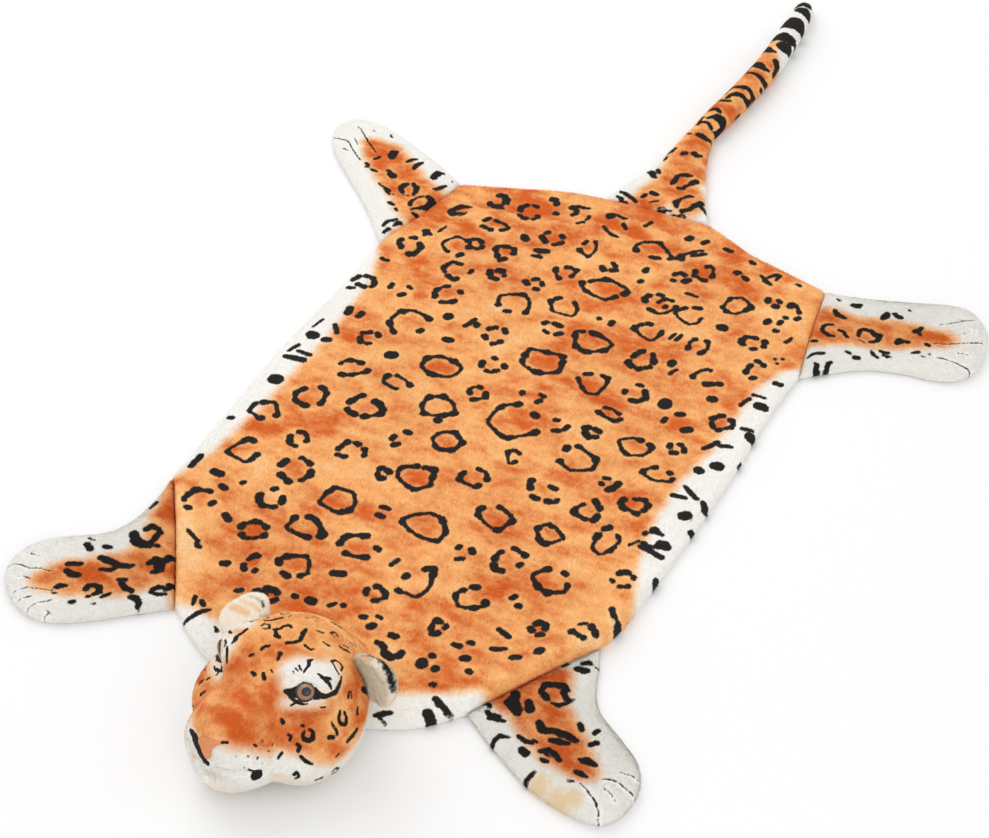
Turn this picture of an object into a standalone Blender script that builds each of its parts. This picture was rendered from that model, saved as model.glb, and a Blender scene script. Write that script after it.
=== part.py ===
import math

import bpy
import bmesh
import numpy as np
from mathutils import Vector
from mathutils.geometry import delaunay_2d_cdt

# Plush leopard rug lying flat. The long axis runs along Y, the head points to -Y,
# the tail to +Y, the left side of the animal is +X and the floor is z = 0.
# Tables give places in metres from the chin line; MIDDLE_Y shifts them so that the
# finished rug is centred on the origin.

MIDDLE_Y = 0.6825
GAP = 0.0003
HALF_GAP = GAP / 2.0
SEAT_GAP = 0.0004

BODY_THICK = 0.0100
BODY_ROUND = 0.0085
BODY_CELL = 0.0088
BODY_STEP = 0.0130
FOLD_SHOWS = 0.0012
FOLD_SPREAD = 1.15

LEG_THICK = 0.0125
LEG_ROUND = 0.0210
LEG_CELL = 0.0082
LEG_STEP = 0.0074
PAW_EXTRA = 0.0035
PAW_RUN = 0.65
DROP_START = 0.55

MITRE_SHARE = 0.6
FILL_CLEAR = 0.45
RING_SHARE = 0.9
SLIVER = 1e-6
EDGE_HEIGHT = 0.0036
ROW_SHARE = math.sqrt(3.0) / 2.0
TOP_RINGS = (0.0013, 0.0037)
BOTTOM_INSET = 0.0022

TAIL_RING_POINTS = 22
TAIL_RINGS = 24
TAIL_BASE_RINGS = 15
TAIL_STEP = 0.0015
TAIL_FLAT = 0.10
PANEL_RUN = 0.11
PANEL_SQUARE = 0.6
SEAM_DEPTH = 0.0022
SEAM_RINGS = (0.0, 0.0013, 0.0037, 0.0085)
RING_CLEAR = 0.0110
SEAM_TURN = 0.05

HEAD_LEVEL = 5
HEAD_MIDDLE = (0.0158, 0.0760, 0.0480)
HEAD_TURN = math.radians(-10.0)
HEAD_REACH = 0.150
HEAD_STEPS = 75
HALVINGS = 12
HEAD_BLEND = 0.014

# Flat seat of the head on the body: how far behind its middle the seat lies, its
# radii and the share over which it fades. In front the seat steps down over the
# chest edge, whose line is the front place plus the bend times x squared.
SEAT_BACK = 0.0450
SEAT_RADII = (0.0850, 0.0750)
SEAT_FADE = 0.35
CHEST_FRONT = 0.0950
CHEST_BEND = 2.4
STEP_AHEAD = 0.0240
STEP_RUN = 0.0190

EAR_LENGTH = 0.0390
EAR_RINGS = 11
EAR_POINTS = 20
EAR_CROWDING = 1.25
EAR_RISE = 0.0004
EAR_SEAT_RINGS = (0.35, 0.7)

PAD_EDGE = 0.0008
EYE_RADIUS = 0.0078
EYE_DOME = 0.0042
EYE_POINTS = 20
EYE_RINGS = (0.35, 0.65, 0.88, 1.0)
NOSE_DOME = 0.0022
NOSE_STEP = 0.0035
NOSE_RINGS = (0.5, 0.8, 1.0)

# Corners where the legs and the tail are sewn on. Columns: x, y.
CORNERS = {
    "front_left_rear": (0.2200, 0.2830),
    "front_left_fore": (0.1480, 0.1620),
    "front_right_rear": (-0.2430, 0.2880),
    "front_right_fore": (-0.1470, 0.1480),
    "rear_left_fore": (0.2460, 0.7050),
    "rear_left_rear": (0.2220, 0.8450),
    "rear_right_fore": (-0.2455, 0.6970),
    "rear_right_rear": (-0.2180, 0.8340),
    "tail_left": (0.0650, 0.8940),
    "tail_right": (-0.0590, 0.8860),
}

RUG_CENTRE = (0.0, 0.4900)
LEG_BOW = 0.0015
TAIL_BOW = 0.0003

# Free edges between two corners, walked counter-clockwise. Columns: x, y.
CHEST = ((-0.1150, 0.1240), (-0.0800, 0.1080), (-0.0400, 0.0980), (0.0000, 0.0950),
         (0.0400, 0.0985), (0.0800, 0.1100), (0.1170, 0.1300))
LEFT_FLANK = ((0.2290, 0.3200), (0.2350, 0.3960), (0.2400, 0.4870), (0.2420, 0.5560),
              (0.2410, 0.6260))
REAR_LEFT = ((0.1900, 0.8530), (0.1570, 0.8610), (0.1280, 0.8670), (0.0950, 0.8820))
REAR_RIGHT = ((-0.0890, 0.8810), (-0.1250, 0.8690), (-0.1530, 0.8570))
RIGHT_FLANK = ((-0.2465, 0.5890), (-0.2500, 0.4890), (-0.2460, 0.3860))

# Outlines of the legs from the rear corner of the seam round the paw to its fore
# corner for front legs, and from the fore corner to the rear one for rear legs.
FRONT_RIGHT_LEG = ((-0.2400, 0.2560), (-0.2440, 0.2190), (-0.2580, 0.1930),
                   (-0.2880, 0.1720), (-0.3070, 0.1530), (-0.3140, 0.1310),
                   (-0.3090, 0.1080), (-0.2920, 0.0900), (-0.2660, 0.0790),
                   (-0.2410, 0.0800), (-0.2120, 0.0960), (-0.1780, 0.1230))
FRONT_LEFT_LEG = ((0.1860, 0.1390), (0.2250, 0.1190), (0.2590, 0.1100),
                  (0.2870, 0.1080), (0.3030, 0.1130), (0.3130, 0.1270),
                  (0.3160, 0.1500), (0.3110, 0.1690), (0.3000, 0.1840),
                  (0.2800, 0.1980), (0.2530, 0.2150), (0.2400, 0.2320),
                  (0.2290, 0.2600))
REAR_RIGHT_LEG = ((-0.2570, 0.8550), (-0.3060, 0.8760), (-0.3420, 0.8890),
                  (-0.3660, 0.8920), (-0.3880, 0.8870), (-0.3995, 0.8710),
                  (-0.3990, 0.8530), (-0.3920, 0.8380), (-0.3730, 0.8160),
                  (-0.3430, 0.7900), (-0.3130, 0.7650), (-0.2800, 0.7340))
REAR_LEFT_LEG = ((0.2710, 0.7270), (0.3030, 0.7500), (0.3390, 0.7620),
                 (0.3670, 0.7660), (0.3900, 0.7760), (0.4030, 0.7950),
                 (0.4050, 0.8210), (0.4010, 0.8490), (0.3920, 0.8680),
                 (0.3750, 0.8830), (0.3540, 0.8850), (0.3120, 0.8710),
                 (0.2660, 0.8550))

# Soft ridges and troughs of the lying body. Columns: x and y of the start and the
# end, half width, height (below zero for a trough).
BODY_FOLDS = (
    (0.1480, 0.1750, 0.2180, 0.2880, 0.0210, 0.0085),
    (0.2150, 0.2850, 0.2240, 0.3650, 0.0190, 0.0060),
    (0.1400, 0.2250, 0.1760, 0.3050, 0.0125, -0.0026),
    (0.1760, 0.3050, 0.2020, 0.3750, 0.0125, -0.0022),
    (-0.2290, 0.2780, -0.1450, 0.1630, 0.0120, 0.0045),
    (-0.2080, 0.2800, -0.1250, 0.1720, 0.0120, -0.0018),
    (-0.2219, 0.7041, -0.1465, 0.7941, 0.0130, 0.0045),
    (-0.2174, 0.7531, -0.0618, 0.8594, 0.0130, -0.0030),
    (-0.2217, 0.6903, -0.1560, 0.6755, 0.0150, -0.0025),
    (-0.1530, 0.7161, -0.1400, 0.7300, 0.0140, -0.0020),
    (-0.0500, 0.8600, 0.0050, 0.8479, 0.0120, -0.0028),
    (0.0050, 0.8479, 0.0452, 0.8312, 0.0120, -0.0028),
    (-0.0450, 0.8720, 0.0500, 0.8740, 0.0100, 0.0020),
    (0.1100, 0.8350, 0.1900, 0.7800, 0.0180, 0.0022),
    (0.1250, 0.7900, 0.2000, 0.7250, 0.0160, -0.0020),
)

# Long shallow swells over the whole body. Columns: waves per metre along x and y,
# phase, height.
BODY_SWELLS = (
    (3.1, 5.3, 0.4, 0.00055),
    (-4.7, 3.9, 1.9, 0.00045),
    (7.9, 2.3, 3.0, 0.00035),
    (2.2, -8.6, 5.1, 0.00035),
    (9.7, 8.1, 0.9, 0.00025),
)

LEG_SWELLS = ((14.0, 9.7, 0.0, 0.0006),)

# Half breadth and height of the tail panel and the tail along their line.
# Columns: x, y, half breadth, height.
TAIL_BASE_LINE = (
    (0.0030, 0.8900, 0.0620, 0.0100),
    (0.0005, 0.9160, 0.0495, 0.0115),
    (-0.0005, 0.9450, 0.0395, 0.0130),
    (-0.0045, 0.9810, 0.0278, 0.0155),
    (-0.0080, 1.0180, 0.0197, 0.0185),
    (-0.0085, 1.0500, 0.0152, 0.0215),
)
TAIL_LINE = (
    (-0.0085, 1.0500, 0.0152, 0.0215),
    (-0.0050, 1.0800, 0.0151, 0.0250),
    (0.0005, 1.1200, 0.0151, 0.0260),
    (0.0052, 1.1700, 0.0151, 0.0265),
    (0.0077, 1.2200, 0.0150, 0.0262),
    (0.0065, 1.2700, 0.0147, 0.0257),
    (0.0033, 1.3200, 0.0136, 0.0245),
    (-0.0005, 1.3560, 0.0114, 0.0210),
    (-0.0025, 1.3730, 0.0080, 0.0160),
    (-0.0030, 1.3790, 0.0035, 0.0090),
)

# Stuffed forms that blend into the head, in the frame of the head: x to the left of
# the animal, y to the back from the nose, z up. Columns: x, y, z, radii. A form with
# x above zero has a twin on the other side.
HEAD_FORMS = (
    (0.000, 0.091, 0.049, 0.066, 0.066, 0.055),
    (0.038, 0.070, 0.034, 0.0395, 0.050, 0.037),
    (0.000, 0.029, 0.046, 0.041, 0.042, 0.040),
    (0.018, 0.013, 0.044, 0.024, 0.024, 0.024),
    (-0.006, 0.015, 0.022, 0.031, 0.029, 0.024),
    (0.000, 0.040, 0.062, 0.032, 0.048, 0.027),
    (0.035, 0.074, 0.085, 0.025, 0.026, 0.020),
    (0.000, 0.130, 0.032, 0.050, 0.040, 0.032),
)

# Columns: place on the head.
EYES = {
    "eye_left": (0.0385, 0.0639, 0.0942),
    "eye_right": (-0.0500, 0.0640, 0.0790),
}
EYE_HOLLOW = 0.0085
EYE_HOLLOW_PLACE = (0.0520, 0.0540, 0.0780)
EYE_HOLLOW_RADIUS = 0.0200
NOSE_PLACE = (0.0000, -0.0030, 0.0690)
# Outline of the nose pad about its middle. Columns: across, up.
NOSE_OUTLINE = ((0.0137, 0.0066), (0.0123, 0.0077), (0.0058, 0.0062), (-0.0028, 0.0040),
                (-0.0115, 0.0008), (-0.0125, -0.0030), (-0.0085, -0.0070),
                (-0.0040, -0.0115), (0.0005, -0.0148), (0.0045, -0.0095),
                (0.0036, -0.0037), (0.0069, 0.0025))

# The ears are set unevenly. Columns: place on the head, way out of it, way along the
# seam from the crown to the cheek.
EARS = {
    "ear_left": ((0.0540, 0.1275, 0.0640), (0.78, -0.05, 0.62), (0.60, -0.10, -0.79)),
    "ear_right": ((-0.0680, 0.1050, 0.0580), (-0.56, 0.77, 0.16), (-0.69, -0.43, -0.41)),
}
# Shape of an ear along its length. Columns: share of the length, half width, half
# thickness, forward curl of the rim.
EAR_SHAPE = (
    (0.00, 0.0200, 0.0085, 0.0000),
    (0.15, 0.0235, 0.0088, 0.0025),
    (0.35, 0.0252, 0.0088, 0.0050),
    (0.60, 0.0240, 0.0083, 0.0060),
    (0.80, 0.0195, 0.0073, 0.0055),
    (0.93, 0.0120, 0.0055, 0.0040),
    (1.00, 0.0038, 0.0020, 0.0030),
)

# Columns: base colour, roughness, metallic.
FINISHES = {
    "plush_print": ((0.93, 0.45, 0.16), 0.95, 0.0),
    "plush_cream": ((0.90, 0.82, 0.68), 0.95, 0.0),
    "eye_gloss": ((0.30, 0.13, 0.04), 0.12, 0.0),
    "nose_cloth": ((0.83, 0.36, 0.20), 0.70, 0.0),
}


def clearObjects():
    for item in list(bpy.data.objects):
        bpy.data.objects.remove(item, do_unlink=True)


def makeFinish(node, finish):
    colour, roughness, metallic = FINISHES[finish]
    material = bpy.data.materials.new(node + "_" + finish)
    material.use_nodes = True
    shader = material.node_tree.nodes["Principled BSDF"]
    shader.inputs["Base Color"].default_value = (*colour, 1.0)
    shader.inputs["Roughness"].default_value = roughness
    shader.inputs["Metallic"].default_value = metallic
    return material


def makeObject(node, points, faces, finish):
    mesh = bpy.data.meshes.new(node)
    shifted = [(x, y - MIDDLE_Y, z) for x, y, z in points]
    mesh.from_pydata(shifted, [], faces)
    work = bmesh.new()
    work.from_mesh(mesh)
    bmesh.ops.triangulate(work, faces=work.faces[:])
    bmesh.ops.recalc_face_normals(work, faces=work.faces[:])
    if work.calc_volume(signed=True) < 0.0:
        bmesh.ops.reverse_faces(work, faces=work.faces[:])
    work.to_mesh(mesh)
    work.free()
    item = bpy.data.objects.new(node, mesh)
    bpy.context.scene.collection.objects.link(item)
    mesh.materials.append(makeFinish(node, finish))
    return item


def curveThrough(points, step):
    # Points of a smooth run through the given ones, without its last point.
    found = []
    count = len(points)
    for i in range(count - 1):
        b = np.array(points[i])
        c = np.array(points[i + 1])
        a = np.array(points[i - 1]) if i > 0 else 2 * b - c
        d = np.array(points[i + 2]) if i + 2 < count else 2 * c - b
        pieces = max(1, round(float(np.linalg.norm(c - b)) / step))
        for k in range(pieces):
            t = k / pieces
            value = 0.5 * (2 * b + (c - a) * t + (2 * a - 5 * b + 4 * c - d) * t * t
                           + (3 * b - a - 3 * c + d) * t ** 3)
            found.append(value)
    return found


def closedOutline(runs, step):
    found = []
    for run in runs:
        found.extend(curveThrough(run, step))
    return np.array(found)


def seamRun(start, end, bow):
    # A sewn edge between two corners that bows a little towards the rug's middle.
    a = np.array(CORNERS[start])
    b = np.array(CORNERS[end])
    middle = (a + b) / 2.0
    off = np.array((a[1] - b[1], b[0] - a[0])) / np.linalg.norm(b - a)
    if off @ (np.array(RUG_CENTRE) - middle) < 0.0:
        off = -off
    return tuple(a), tuple(middle + off * bow), tuple(b)


def insetOutline(outline, distance):
    # Moves a counter-clockwise loop inward along the mean of its edge normals.
    ahead = np.roll(outline, -1, axis=0) - outline
    ahead /= np.linalg.norm(ahead, axis=1)[:, None]
    behind = np.roll(ahead, 1, axis=0)
    normals = np.stack([-(ahead + behind)[:, 1], (ahead + behind)[:, 0]], axis=1)
    normals /= np.linalg.norm(normals, axis=1)[:, None]
    straight = np.stack([-ahead[:, 1], ahead[:, 0]], axis=1)
    share = np.clip((normals * straight).sum(axis=1), MITRE_SHARE, 1.0)
    return outline + normals * (distance / share)[:, None]


def edgeDistance(places, outline):
    best = np.full(len(places), 1.0)
    ends = np.roll(outline, -1, axis=0)
    for start, end in zip(outline, ends):
        line = end - start
        along = np.clip(((places - start) @ line) / (line @ line), 0.0, 1.0)
        gap = np.linalg.norm(places - start - along[:, None] * line, axis=1)
        best = np.minimum(best, gap)
    return best


def isInside(places, outline):
    inside = np.zeros(len(places), bool)
    ends = np.roll(outline, -1, axis=0)
    for (x1, y1), (x2, y2) in zip(outline, ends):
        if y1 == y2:
            continue
        crosses = (y1 > places[:, 1]) != (y2 > places[:, 1])
        cut = x1 + (places[:, 1] - y1) / (y2 - y1) * (x2 - x1)
        inside ^= crosses & (places[:, 0] < cut)
    return inside


def fillPoints(outline, cell, margin, detailAt):
    # Points of a triangular lattice. Away from detail only every second one stays.
    low = outline.min(axis=0)
    span = outline.max(axis=0) - low
    rows = math.ceil(span[1] / (cell * ROW_SHARE))
    columns = math.ceil(span[0] / cell)
    places = []
    even = []
    for j in range(rows + 1):
        for i in range(-j // 2 - 1, columns + 1):
            places.append((low[0] + (i + j / 2.0) * cell, low[1] + j * cell * ROW_SHARE))
            even.append(i % 2 == 0 and j % 2 == 0)
    places = np.array(places)
    kept = isInside(places, outline) & (edgeDistance(places, outline) > margin)
    if detailAt is not None:
        kept &= np.array(even) | (detailAt(places) > FOLD_SHOWS)
    return places[kept]


def roundedShare(distance, radius):
    t = np.clip(distance / radius, 0.0, 1.0)
    return np.sqrt(1.0 - (1.0 - t) ** 2)


def insetRing(outline, distance):
    # The loop that keeps the given distance from the whole outline.
    moved = insetOutline(outline, distance)
    kept = edgeDistance(moved, outline) > distance * RING_SHARE
    kept &= isInside(moved, outline)
    return moved[kept]


def withoutSlivers(places, faces):
    # Where three points of a straight run form a face of no height, that face goes
    # and its neighbour across the long side is split at the middle point.
    faces = [tuple(f) for f in faces]
    while True:
        corners = places[np.array(faces)]
        sides = np.linalg.norm(np.roll(corners, -1, axis=1) - corners, axis=2)
        one = corners[:, 1] - corners[:, 0]
        two = corners[:, 2] - corners[:, 0]
        area = np.abs(one[:, 0] * two[:, 1] - one[:, 1] * two[:, 0])
        thin = np.nonzero(area < SLIVER * sides.max(axis=1))[0]
        if len(thin) == 0:
            return faces
        number = int(thin[0])
        long = int(sides[number].argmax())
        a, c, b = (faces[number][(long + k) % 3] for k in range(3))
        del faces[number]
        for index, face in enumerate(faces):
            if a in face and c in face:
                d = next(v for v in face if v not in (a, c))
                faces[index] = (a, b, d)
                faces.append((b, c, d))
                break


def flatTriangles(outline, rings, loose):
    # Triangles between an outline, the loops inside it and loose points. The points
    # of the outline come first among the points that are returned.
    flat = [Vector(p) for p in np.concatenate([outline, *rings, loose])]
    links = []
    first = len(outline)
    for ring in rings:
        size = len(ring)
        links.extend((first + k, first + (k + 1) % size) for k in range(size))
        first += size
    rim = len(outline)
    found = delaunay_2d_cdt(flat, links, [list(range(rim))], 1, 0.0, True)
    places = list(outline)
    index = []
    for place, sources in zip(found[0], found[3]):
        if sources and sources[0] < rim:
            index.append(sources[0])
        else:
            index.append(len(places))
            places.append((place[0], place[1]))
    places = np.array(places)
    faces = [tuple(index[i] for i in face) for face in found[2]]
    inside = isInside(np.array([places[list(face)].mean(axis=0) for face in faces]), outline)
    faces = [face for face, kept in zip(faces, inside) if kept]
    return places, withoutSlivers(places, faces)


def clothPanel(node, runs, cell, step, radius, heightAt, detailAt, finish):
    outline = insetOutline(closedOutline(runs, step), HALF_GAP)
    rings = [insetRing(outline, d) for d in TOP_RINGS]
    fill = fillPoints(outline, cell, TOP_RINGS[-1] + step * FILL_CLEAR, detailAt)
    top, faces = flatTriangles(outline, rings, fill)
    rounded = roundedShare(edgeDistance(top, outline), radius)
    heights = EDGE_HEIGHT + (heightAt(top) - EDGE_HEIGHT) * rounded
    points = [(p[0], p[1], z) for p, z in zip(top, heights)]
    under, underFaces = flatTriangles(outline, [insetRing(outline, BOTTOM_INSET)],
                                      np.empty((0, 2)))
    rim = len(outline)
    points.extend((p[0], p[1], 0.0) for p in under[rim:])
    shift = len(top) - rim
    for face in underFaces:
        faces.append(tuple(i if i < rim else i + shift for i in face[::-1]))
    return makeObject(node, points, faces, finish)


def softStep(t):
    t = np.clip(t, 0.0, 1.0)
    return t * t * (3.0 - 2.0 * t)


def foldShares(places, folds, spread):
    # Height of each fold at each place, with its width spread by a factor.
    found = []
    for x1, y1, x2, y2, width, height in folds:
        start = np.array((x1, y1))
        line = np.array((x2 - x1, y2 - y1))
        along = np.clip(((places - start) @ line) / (line @ line), 0.0, 1.0)
        off = np.linalg.norm(places - start - along[:, None] * line, axis=1)
        found.append(height * np.exp(-((off / (width * spread)) ** 2)))
    return np.array(found)


def foldHeight(places, folds):
    return foldShares(places, folds, 1.0).sum(axis=0)


def foldDetail(places):
    return np.abs(foldShares(places, BODY_FOLDS, FOLD_SPREAD)).max(axis=0)


def swellHeight(places, swells):
    total = np.zeros(len(places))
    for fx, fy, phase, height in swells:
        angle = math.tau * (places[:, 0] * fx + places[:, 1] * fy) + phase
        total += height * np.sin(angle)
    return total


def underHead(places):
    # One where the head lies on the body, falling to zero around it.
    middle = np.array((HEAD_MIDDLE[0], HEAD_MIDDLE[1] + SEAT_BACK))
    off = np.linalg.norm((places - middle) / np.array(SEAT_RADII), axis=1)
    return 1.0 - softStep((off - 1.0) / SEAT_FADE)


def bodyHeight(places):
    uneven = foldHeight(places, BODY_FOLDS) + swellHeight(places, BODY_SWELLS)
    return BODY_THICK + uneven * (1.0 - underHead(places))


def legHeight(paw, root, drop):
    # The leg is lower at its seam and fuller at the paw.
    paw = np.array(paw)
    root = np.array(root)
    span = float(np.linalg.norm(paw - root))

    def heightAt(places):
        away = np.linalg.norm(places - paw, axis=1) / span
        full = PAW_EXTRA * (1.0 - softStep(away / PAW_RUN))
        low = drop * softStep((away - DROP_START) / (1.0 - DROP_START))
        return LEG_THICK + full - low + swellHeight(places, LEG_SWELLS)

    return heightAt


def buildBody():
    c = CORNERS
    runs = (
        (c["front_right_fore"], *CHEST, c["front_left_fore"]),
        seamRun("front_left_fore", "front_left_rear", LEG_BOW),
        (c["front_left_rear"], *LEFT_FLANK, c["rear_left_fore"]),
        seamRun("rear_left_fore", "rear_left_rear", LEG_BOW),
        (c["rear_left_rear"], *REAR_LEFT, c["tail_left"]),
        seamRun("tail_left", "tail_right", TAIL_BOW),
        (c["tail_right"], *REAR_RIGHT, c["rear_right_rear"]),
        seamRun("rear_right_rear", "rear_right_fore", LEG_BOW),
        (c["rear_right_fore"], *RIGHT_FLANK, c["front_right_rear"]),
        seamRun("front_right_rear", "front_right_fore", LEG_BOW),
    )
    return clothPanel("body", runs, BODY_CELL, BODY_STEP, BODY_ROUND, bodyHeight,
                      foldDetail, "plush_print")


def buildLegs():
    c = CORNERS
    legs = (
        ("leg_front_right", "front_right_rear", FRONT_RIGHT_LEG, "front_right_fore",
         (-0.285, 0.122), (-0.190, 0.220), 0.0010),
        ("leg_front_left", "front_left_fore", FRONT_LEFT_LEG, "front_left_rear",
         (0.285, 0.145), (0.184, 0.222), 0.0030),
        ("leg_rear_right", "rear_right_rear", REAR_RIGHT_LEG, "rear_right_fore",
         (-0.372, 0.860), (-0.232, 0.765), 0.0015),
        ("leg_rear_left", "rear_left_fore", REAR_LEFT_LEG, "rear_left_rear",
         (0.368, 0.826), (0.234, 0.775), 0.0015),
    )
    for node, start, outline, end, paw, root, drop in legs:
        runs = ((c[start], *outline, c[end]), seamRun(end, start, LEG_BOW))
        clothPanel(node, runs, LEG_CELL, LEG_STEP, LEG_ROUND, legHeight(paw, root, drop),
                   None, "plush_print")


def tailSections(count, start, end):
    # Evenly spread places between two shares of the line of the tail, with the
    # breadth and height there and the way across.
    table = TAIL_BASE_LINE + TAIL_LINE[1:]
    dense = np.array(curveThrough(table, TAIL_STEP) + [np.array(table[-1])])
    steps = np.linalg.norm(np.diff(dense[:, :2], axis=0), axis=1)
    travel = np.concatenate([[0.0], np.cumsum(steps)])
    joint = travel[np.abs(dense[:, 1] - TAIL_LINE[0][1]).argmin()]
    reach = {"body": 0.0, "joint": joint, "tip": travel[-1]}
    first = reach[start] + HALF_GAP
    last = reach[end] - (0.0 if end == "tip" else HALF_GAP)
    near = [first + d for d in SEAM_RINGS]
    if end != "tip":
        near.extend(last - d for d in SEAM_RINGS)
    inner = np.linspace(first, last, count)
    inner = inner[(inner > first + RING_CLEAR)
                  & ((end == "tip") | (inner < last - RING_CLEAR))]
    wanted = np.sort(np.concatenate([near, inner]))
    found = np.stack([np.interp(wanted, travel, dense[:, k]) for k in range(4)], axis=1)
    ahead = np.gradient(dense[:, :2], axis=0)
    ahead /= np.linalg.norm(ahead, axis=1)[:, None]
    across = np.stack([np.interp(wanted, travel, ahead[:, 1]),
                       -np.interp(wanted, travel, ahead[:, 0])], axis=1)
    seam = np.array(CORNERS["tail_left"]) - np.array(CORNERS["tail_right"])
    share = (1.0 - softStep(wanted / SEAM_TURN))[:, None]
    across = across * (1.0 - share) + share * seam / np.linalg.norm(seam)
    return found, across, wanted - wanted[0]


def tubeRing(x, y, half, height, across, power):
    # One closed ring: rounded over the top, flat where it lies on the floor. A low
    # power squares it towards the section of a flat panel.
    ring = []
    for k in range(TAIL_RING_POINTS):
        angle = math.tau * (k + 0.5) / TAIL_RING_POINTS
        run = math.copysign(abs(math.cos(angle)) ** power, math.cos(angle))
        rise = math.copysign(abs(math.sin(angle)) ** power, math.sin(angle))
        side = half * run
        lift = 0.5 + TAIL_FLAT / 2.0
        level = height * (1.0 - lift) + height * lift * rise
        ring.append((x + across[0] * side, y + across[1] * side, max(level, 0.0)))
    return ring


def loftTube(node, rings, finish):
    points = [p for ring in rings for p in ring]
    size = len(rings[0])
    faces = []
    for r in range(len(rings) - 1):
        for k in range(size):
            n = (k + 1) % size
            faces.append((r * size + k, r * size + n, (r + 1) * size + n,
                          (r + 1) * size + k))
    faces.append(tuple(range(size)))
    last = (len(rings) - 1) * size
    faces.append(tuple(range(last + size - 1, last - 1, -1)))
    return makeObject(node, points, faces, finish)


def seamShare(distance, depth, size):
    # Share of the full size near a sewn end that dips by the given depth.
    t = np.clip(distance / SEAM_RINGS[-1], 0.0, 1.0)
    return 1.0 - depth / size * (1.0 - math.sqrt(1.0 - (1.0 - t) ** 2))


def tailRings(count, start, end):
    sections, across, travel = tailSections(count, start, end)
    rings = []
    for (x, y, half, height), way, t in zip(sections, across, travel):
        depth = height - EDGE_HEIGHT if start == "body" else SEAM_DEPTH
        tall = height * seamShare(t, depth, height)
        wide = half * seamShare(t, SEAM_DEPTH if start == "joint" else 0.0, half)
        if end == "joint":
            tall *= seamShare(travel[-1] - t, SEAM_DEPTH, height)
            wide *= seamShare(travel[-1] - t, SEAM_DEPTH, half)
        square = softStep(1.0 - t / PANEL_RUN) if start == "body" else 0.0
        rings.append(tubeRing(x, y, wide, tall, way, 1.0 - PANEL_SQUARE * square))
    return rings


def buildTail():
    loftTube("tail_base", tailRings(TAIL_BASE_RINGS, "body", "joint"), "plush_print")
    loftTube("tail", tailRings(TAIL_RINGS, "joint", "tip"), "plush_print")


def spin(x, y):
    cosine = math.cos(HEAD_TURN)
    sine = math.sin(HEAD_TURN)
    return cosine * x - sine * y, sine * x + cosine * y


def headToRug(places):
    # From the frame of the head to the tables' frame.
    places = np.asarray(places, float)
    x, y = spin(places[:, 0], places[:, 1] - HEAD_MIDDLE[1])
    return np.stack([x + HEAD_MIDDLE[0], y + HEAD_MIDDLE[1], places[:, 2]], axis=1)


def blendForms(a, b, width):
    mix = np.clip(0.5 + 0.5 * (b - a) / width, 0.0, 1.0)
    return b + (a - b) * mix - width * mix * (1.0 - mix)


def headField(places):
    total = None
    for x, y, z, rx, ry, rz in HEAD_FORMS:
        for side in ((1.0, -1.0) if x > 0.0 else (1.0,)):
            radii = np.array((rx, ry, rz))
            off = (places - np.array((x * side, y, z))) / radii
            size = np.linalg.norm(off, axis=1) + 1e-9
            slope = np.linalg.norm(off / radii, axis=1) + 1e-9
            value = size * (size - 1.0) / slope
            total = value if total is None else blendForms(total, value, HEAD_BLEND)
    return total


def headReach(directions):
    # How far the plush surface is from the middle of the head in each direction.
    middle = np.array((0.0, HEAD_MIDDLE[1], HEAD_MIDDLE[2]))
    reach = np.full(len(directions), HEAD_REACH)
    step = HEAD_REACH / HEAD_STEPS
    outside = np.ones(len(directions), bool)
    for _ in range(HEAD_STEPS):
        value = headField(middle + directions * reach[:, None])
        outside &= value > 0.0
        reach = np.where(outside, reach - step, reach)
    low = reach.copy()
    high = reach + step
    for _ in range(HALVINGS):
        half = (low + high) / 2.0
        value = headField(middle + directions * half[:, None])
        low = np.where(value > 0.0, low, half)
        high = np.where(value > 0.0, half, high)
    return low


def eyeHollow(surface):
    total = np.zeros(len(surface))
    for side in (1.0, -1.0):
        place = np.array(EYE_HOLLOW_PLACE) * np.array((side, 1.0, 1.0))
        off = np.linalg.norm(surface - place, axis=1) / EYE_HOLLOW_RADIUS
        total += EYE_HOLLOW * np.exp(-(off ** 2))
    return total


def headSurface(directions):
    middle = np.array((0.0, HEAD_MIDDLE[1], HEAD_MIDDLE[2]))
    reach = headReach(directions)
    surface = middle + directions * reach[:, None]
    return middle + directions * (reach - eyeHollow(surface))[:, None]


def towards(place):
    middle = np.array((0.0, HEAD_MIDDLE[1], HEAD_MIDDLE[2]))
    off = np.asarray(place, float) - middle
    return off / np.linalg.norm(off)


def seatHeight(places):
    # The floor in front of the body and the top of the body behind its chest edge.
    chest = CHEST_FRONT + CHEST_BEND * places[:, 0] ** 2
    back = (places[:, 1] - chest + STEP_AHEAD) / STEP_RUN
    return (BODY_THICK + GAP) * softStep(back)


def buildHead():
    work = bmesh.new()
    bmesh.ops.create_icosphere(work, subdivisions=HEAD_LEVEL, radius=1.0)
    directions = np.array([v.co.normalized() for v in work.verts])
    faces = [tuple(v.index for v in f.verts) for f in work.faces]
    work.free()
    surface = headToRug(headSurface(directions))
    surface[:, 2] = np.maximum(surface[:, 2], seatHeight(surface))
    return makeObject("head", [tuple(p) for p in surface], faces, "plush_print")


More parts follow.
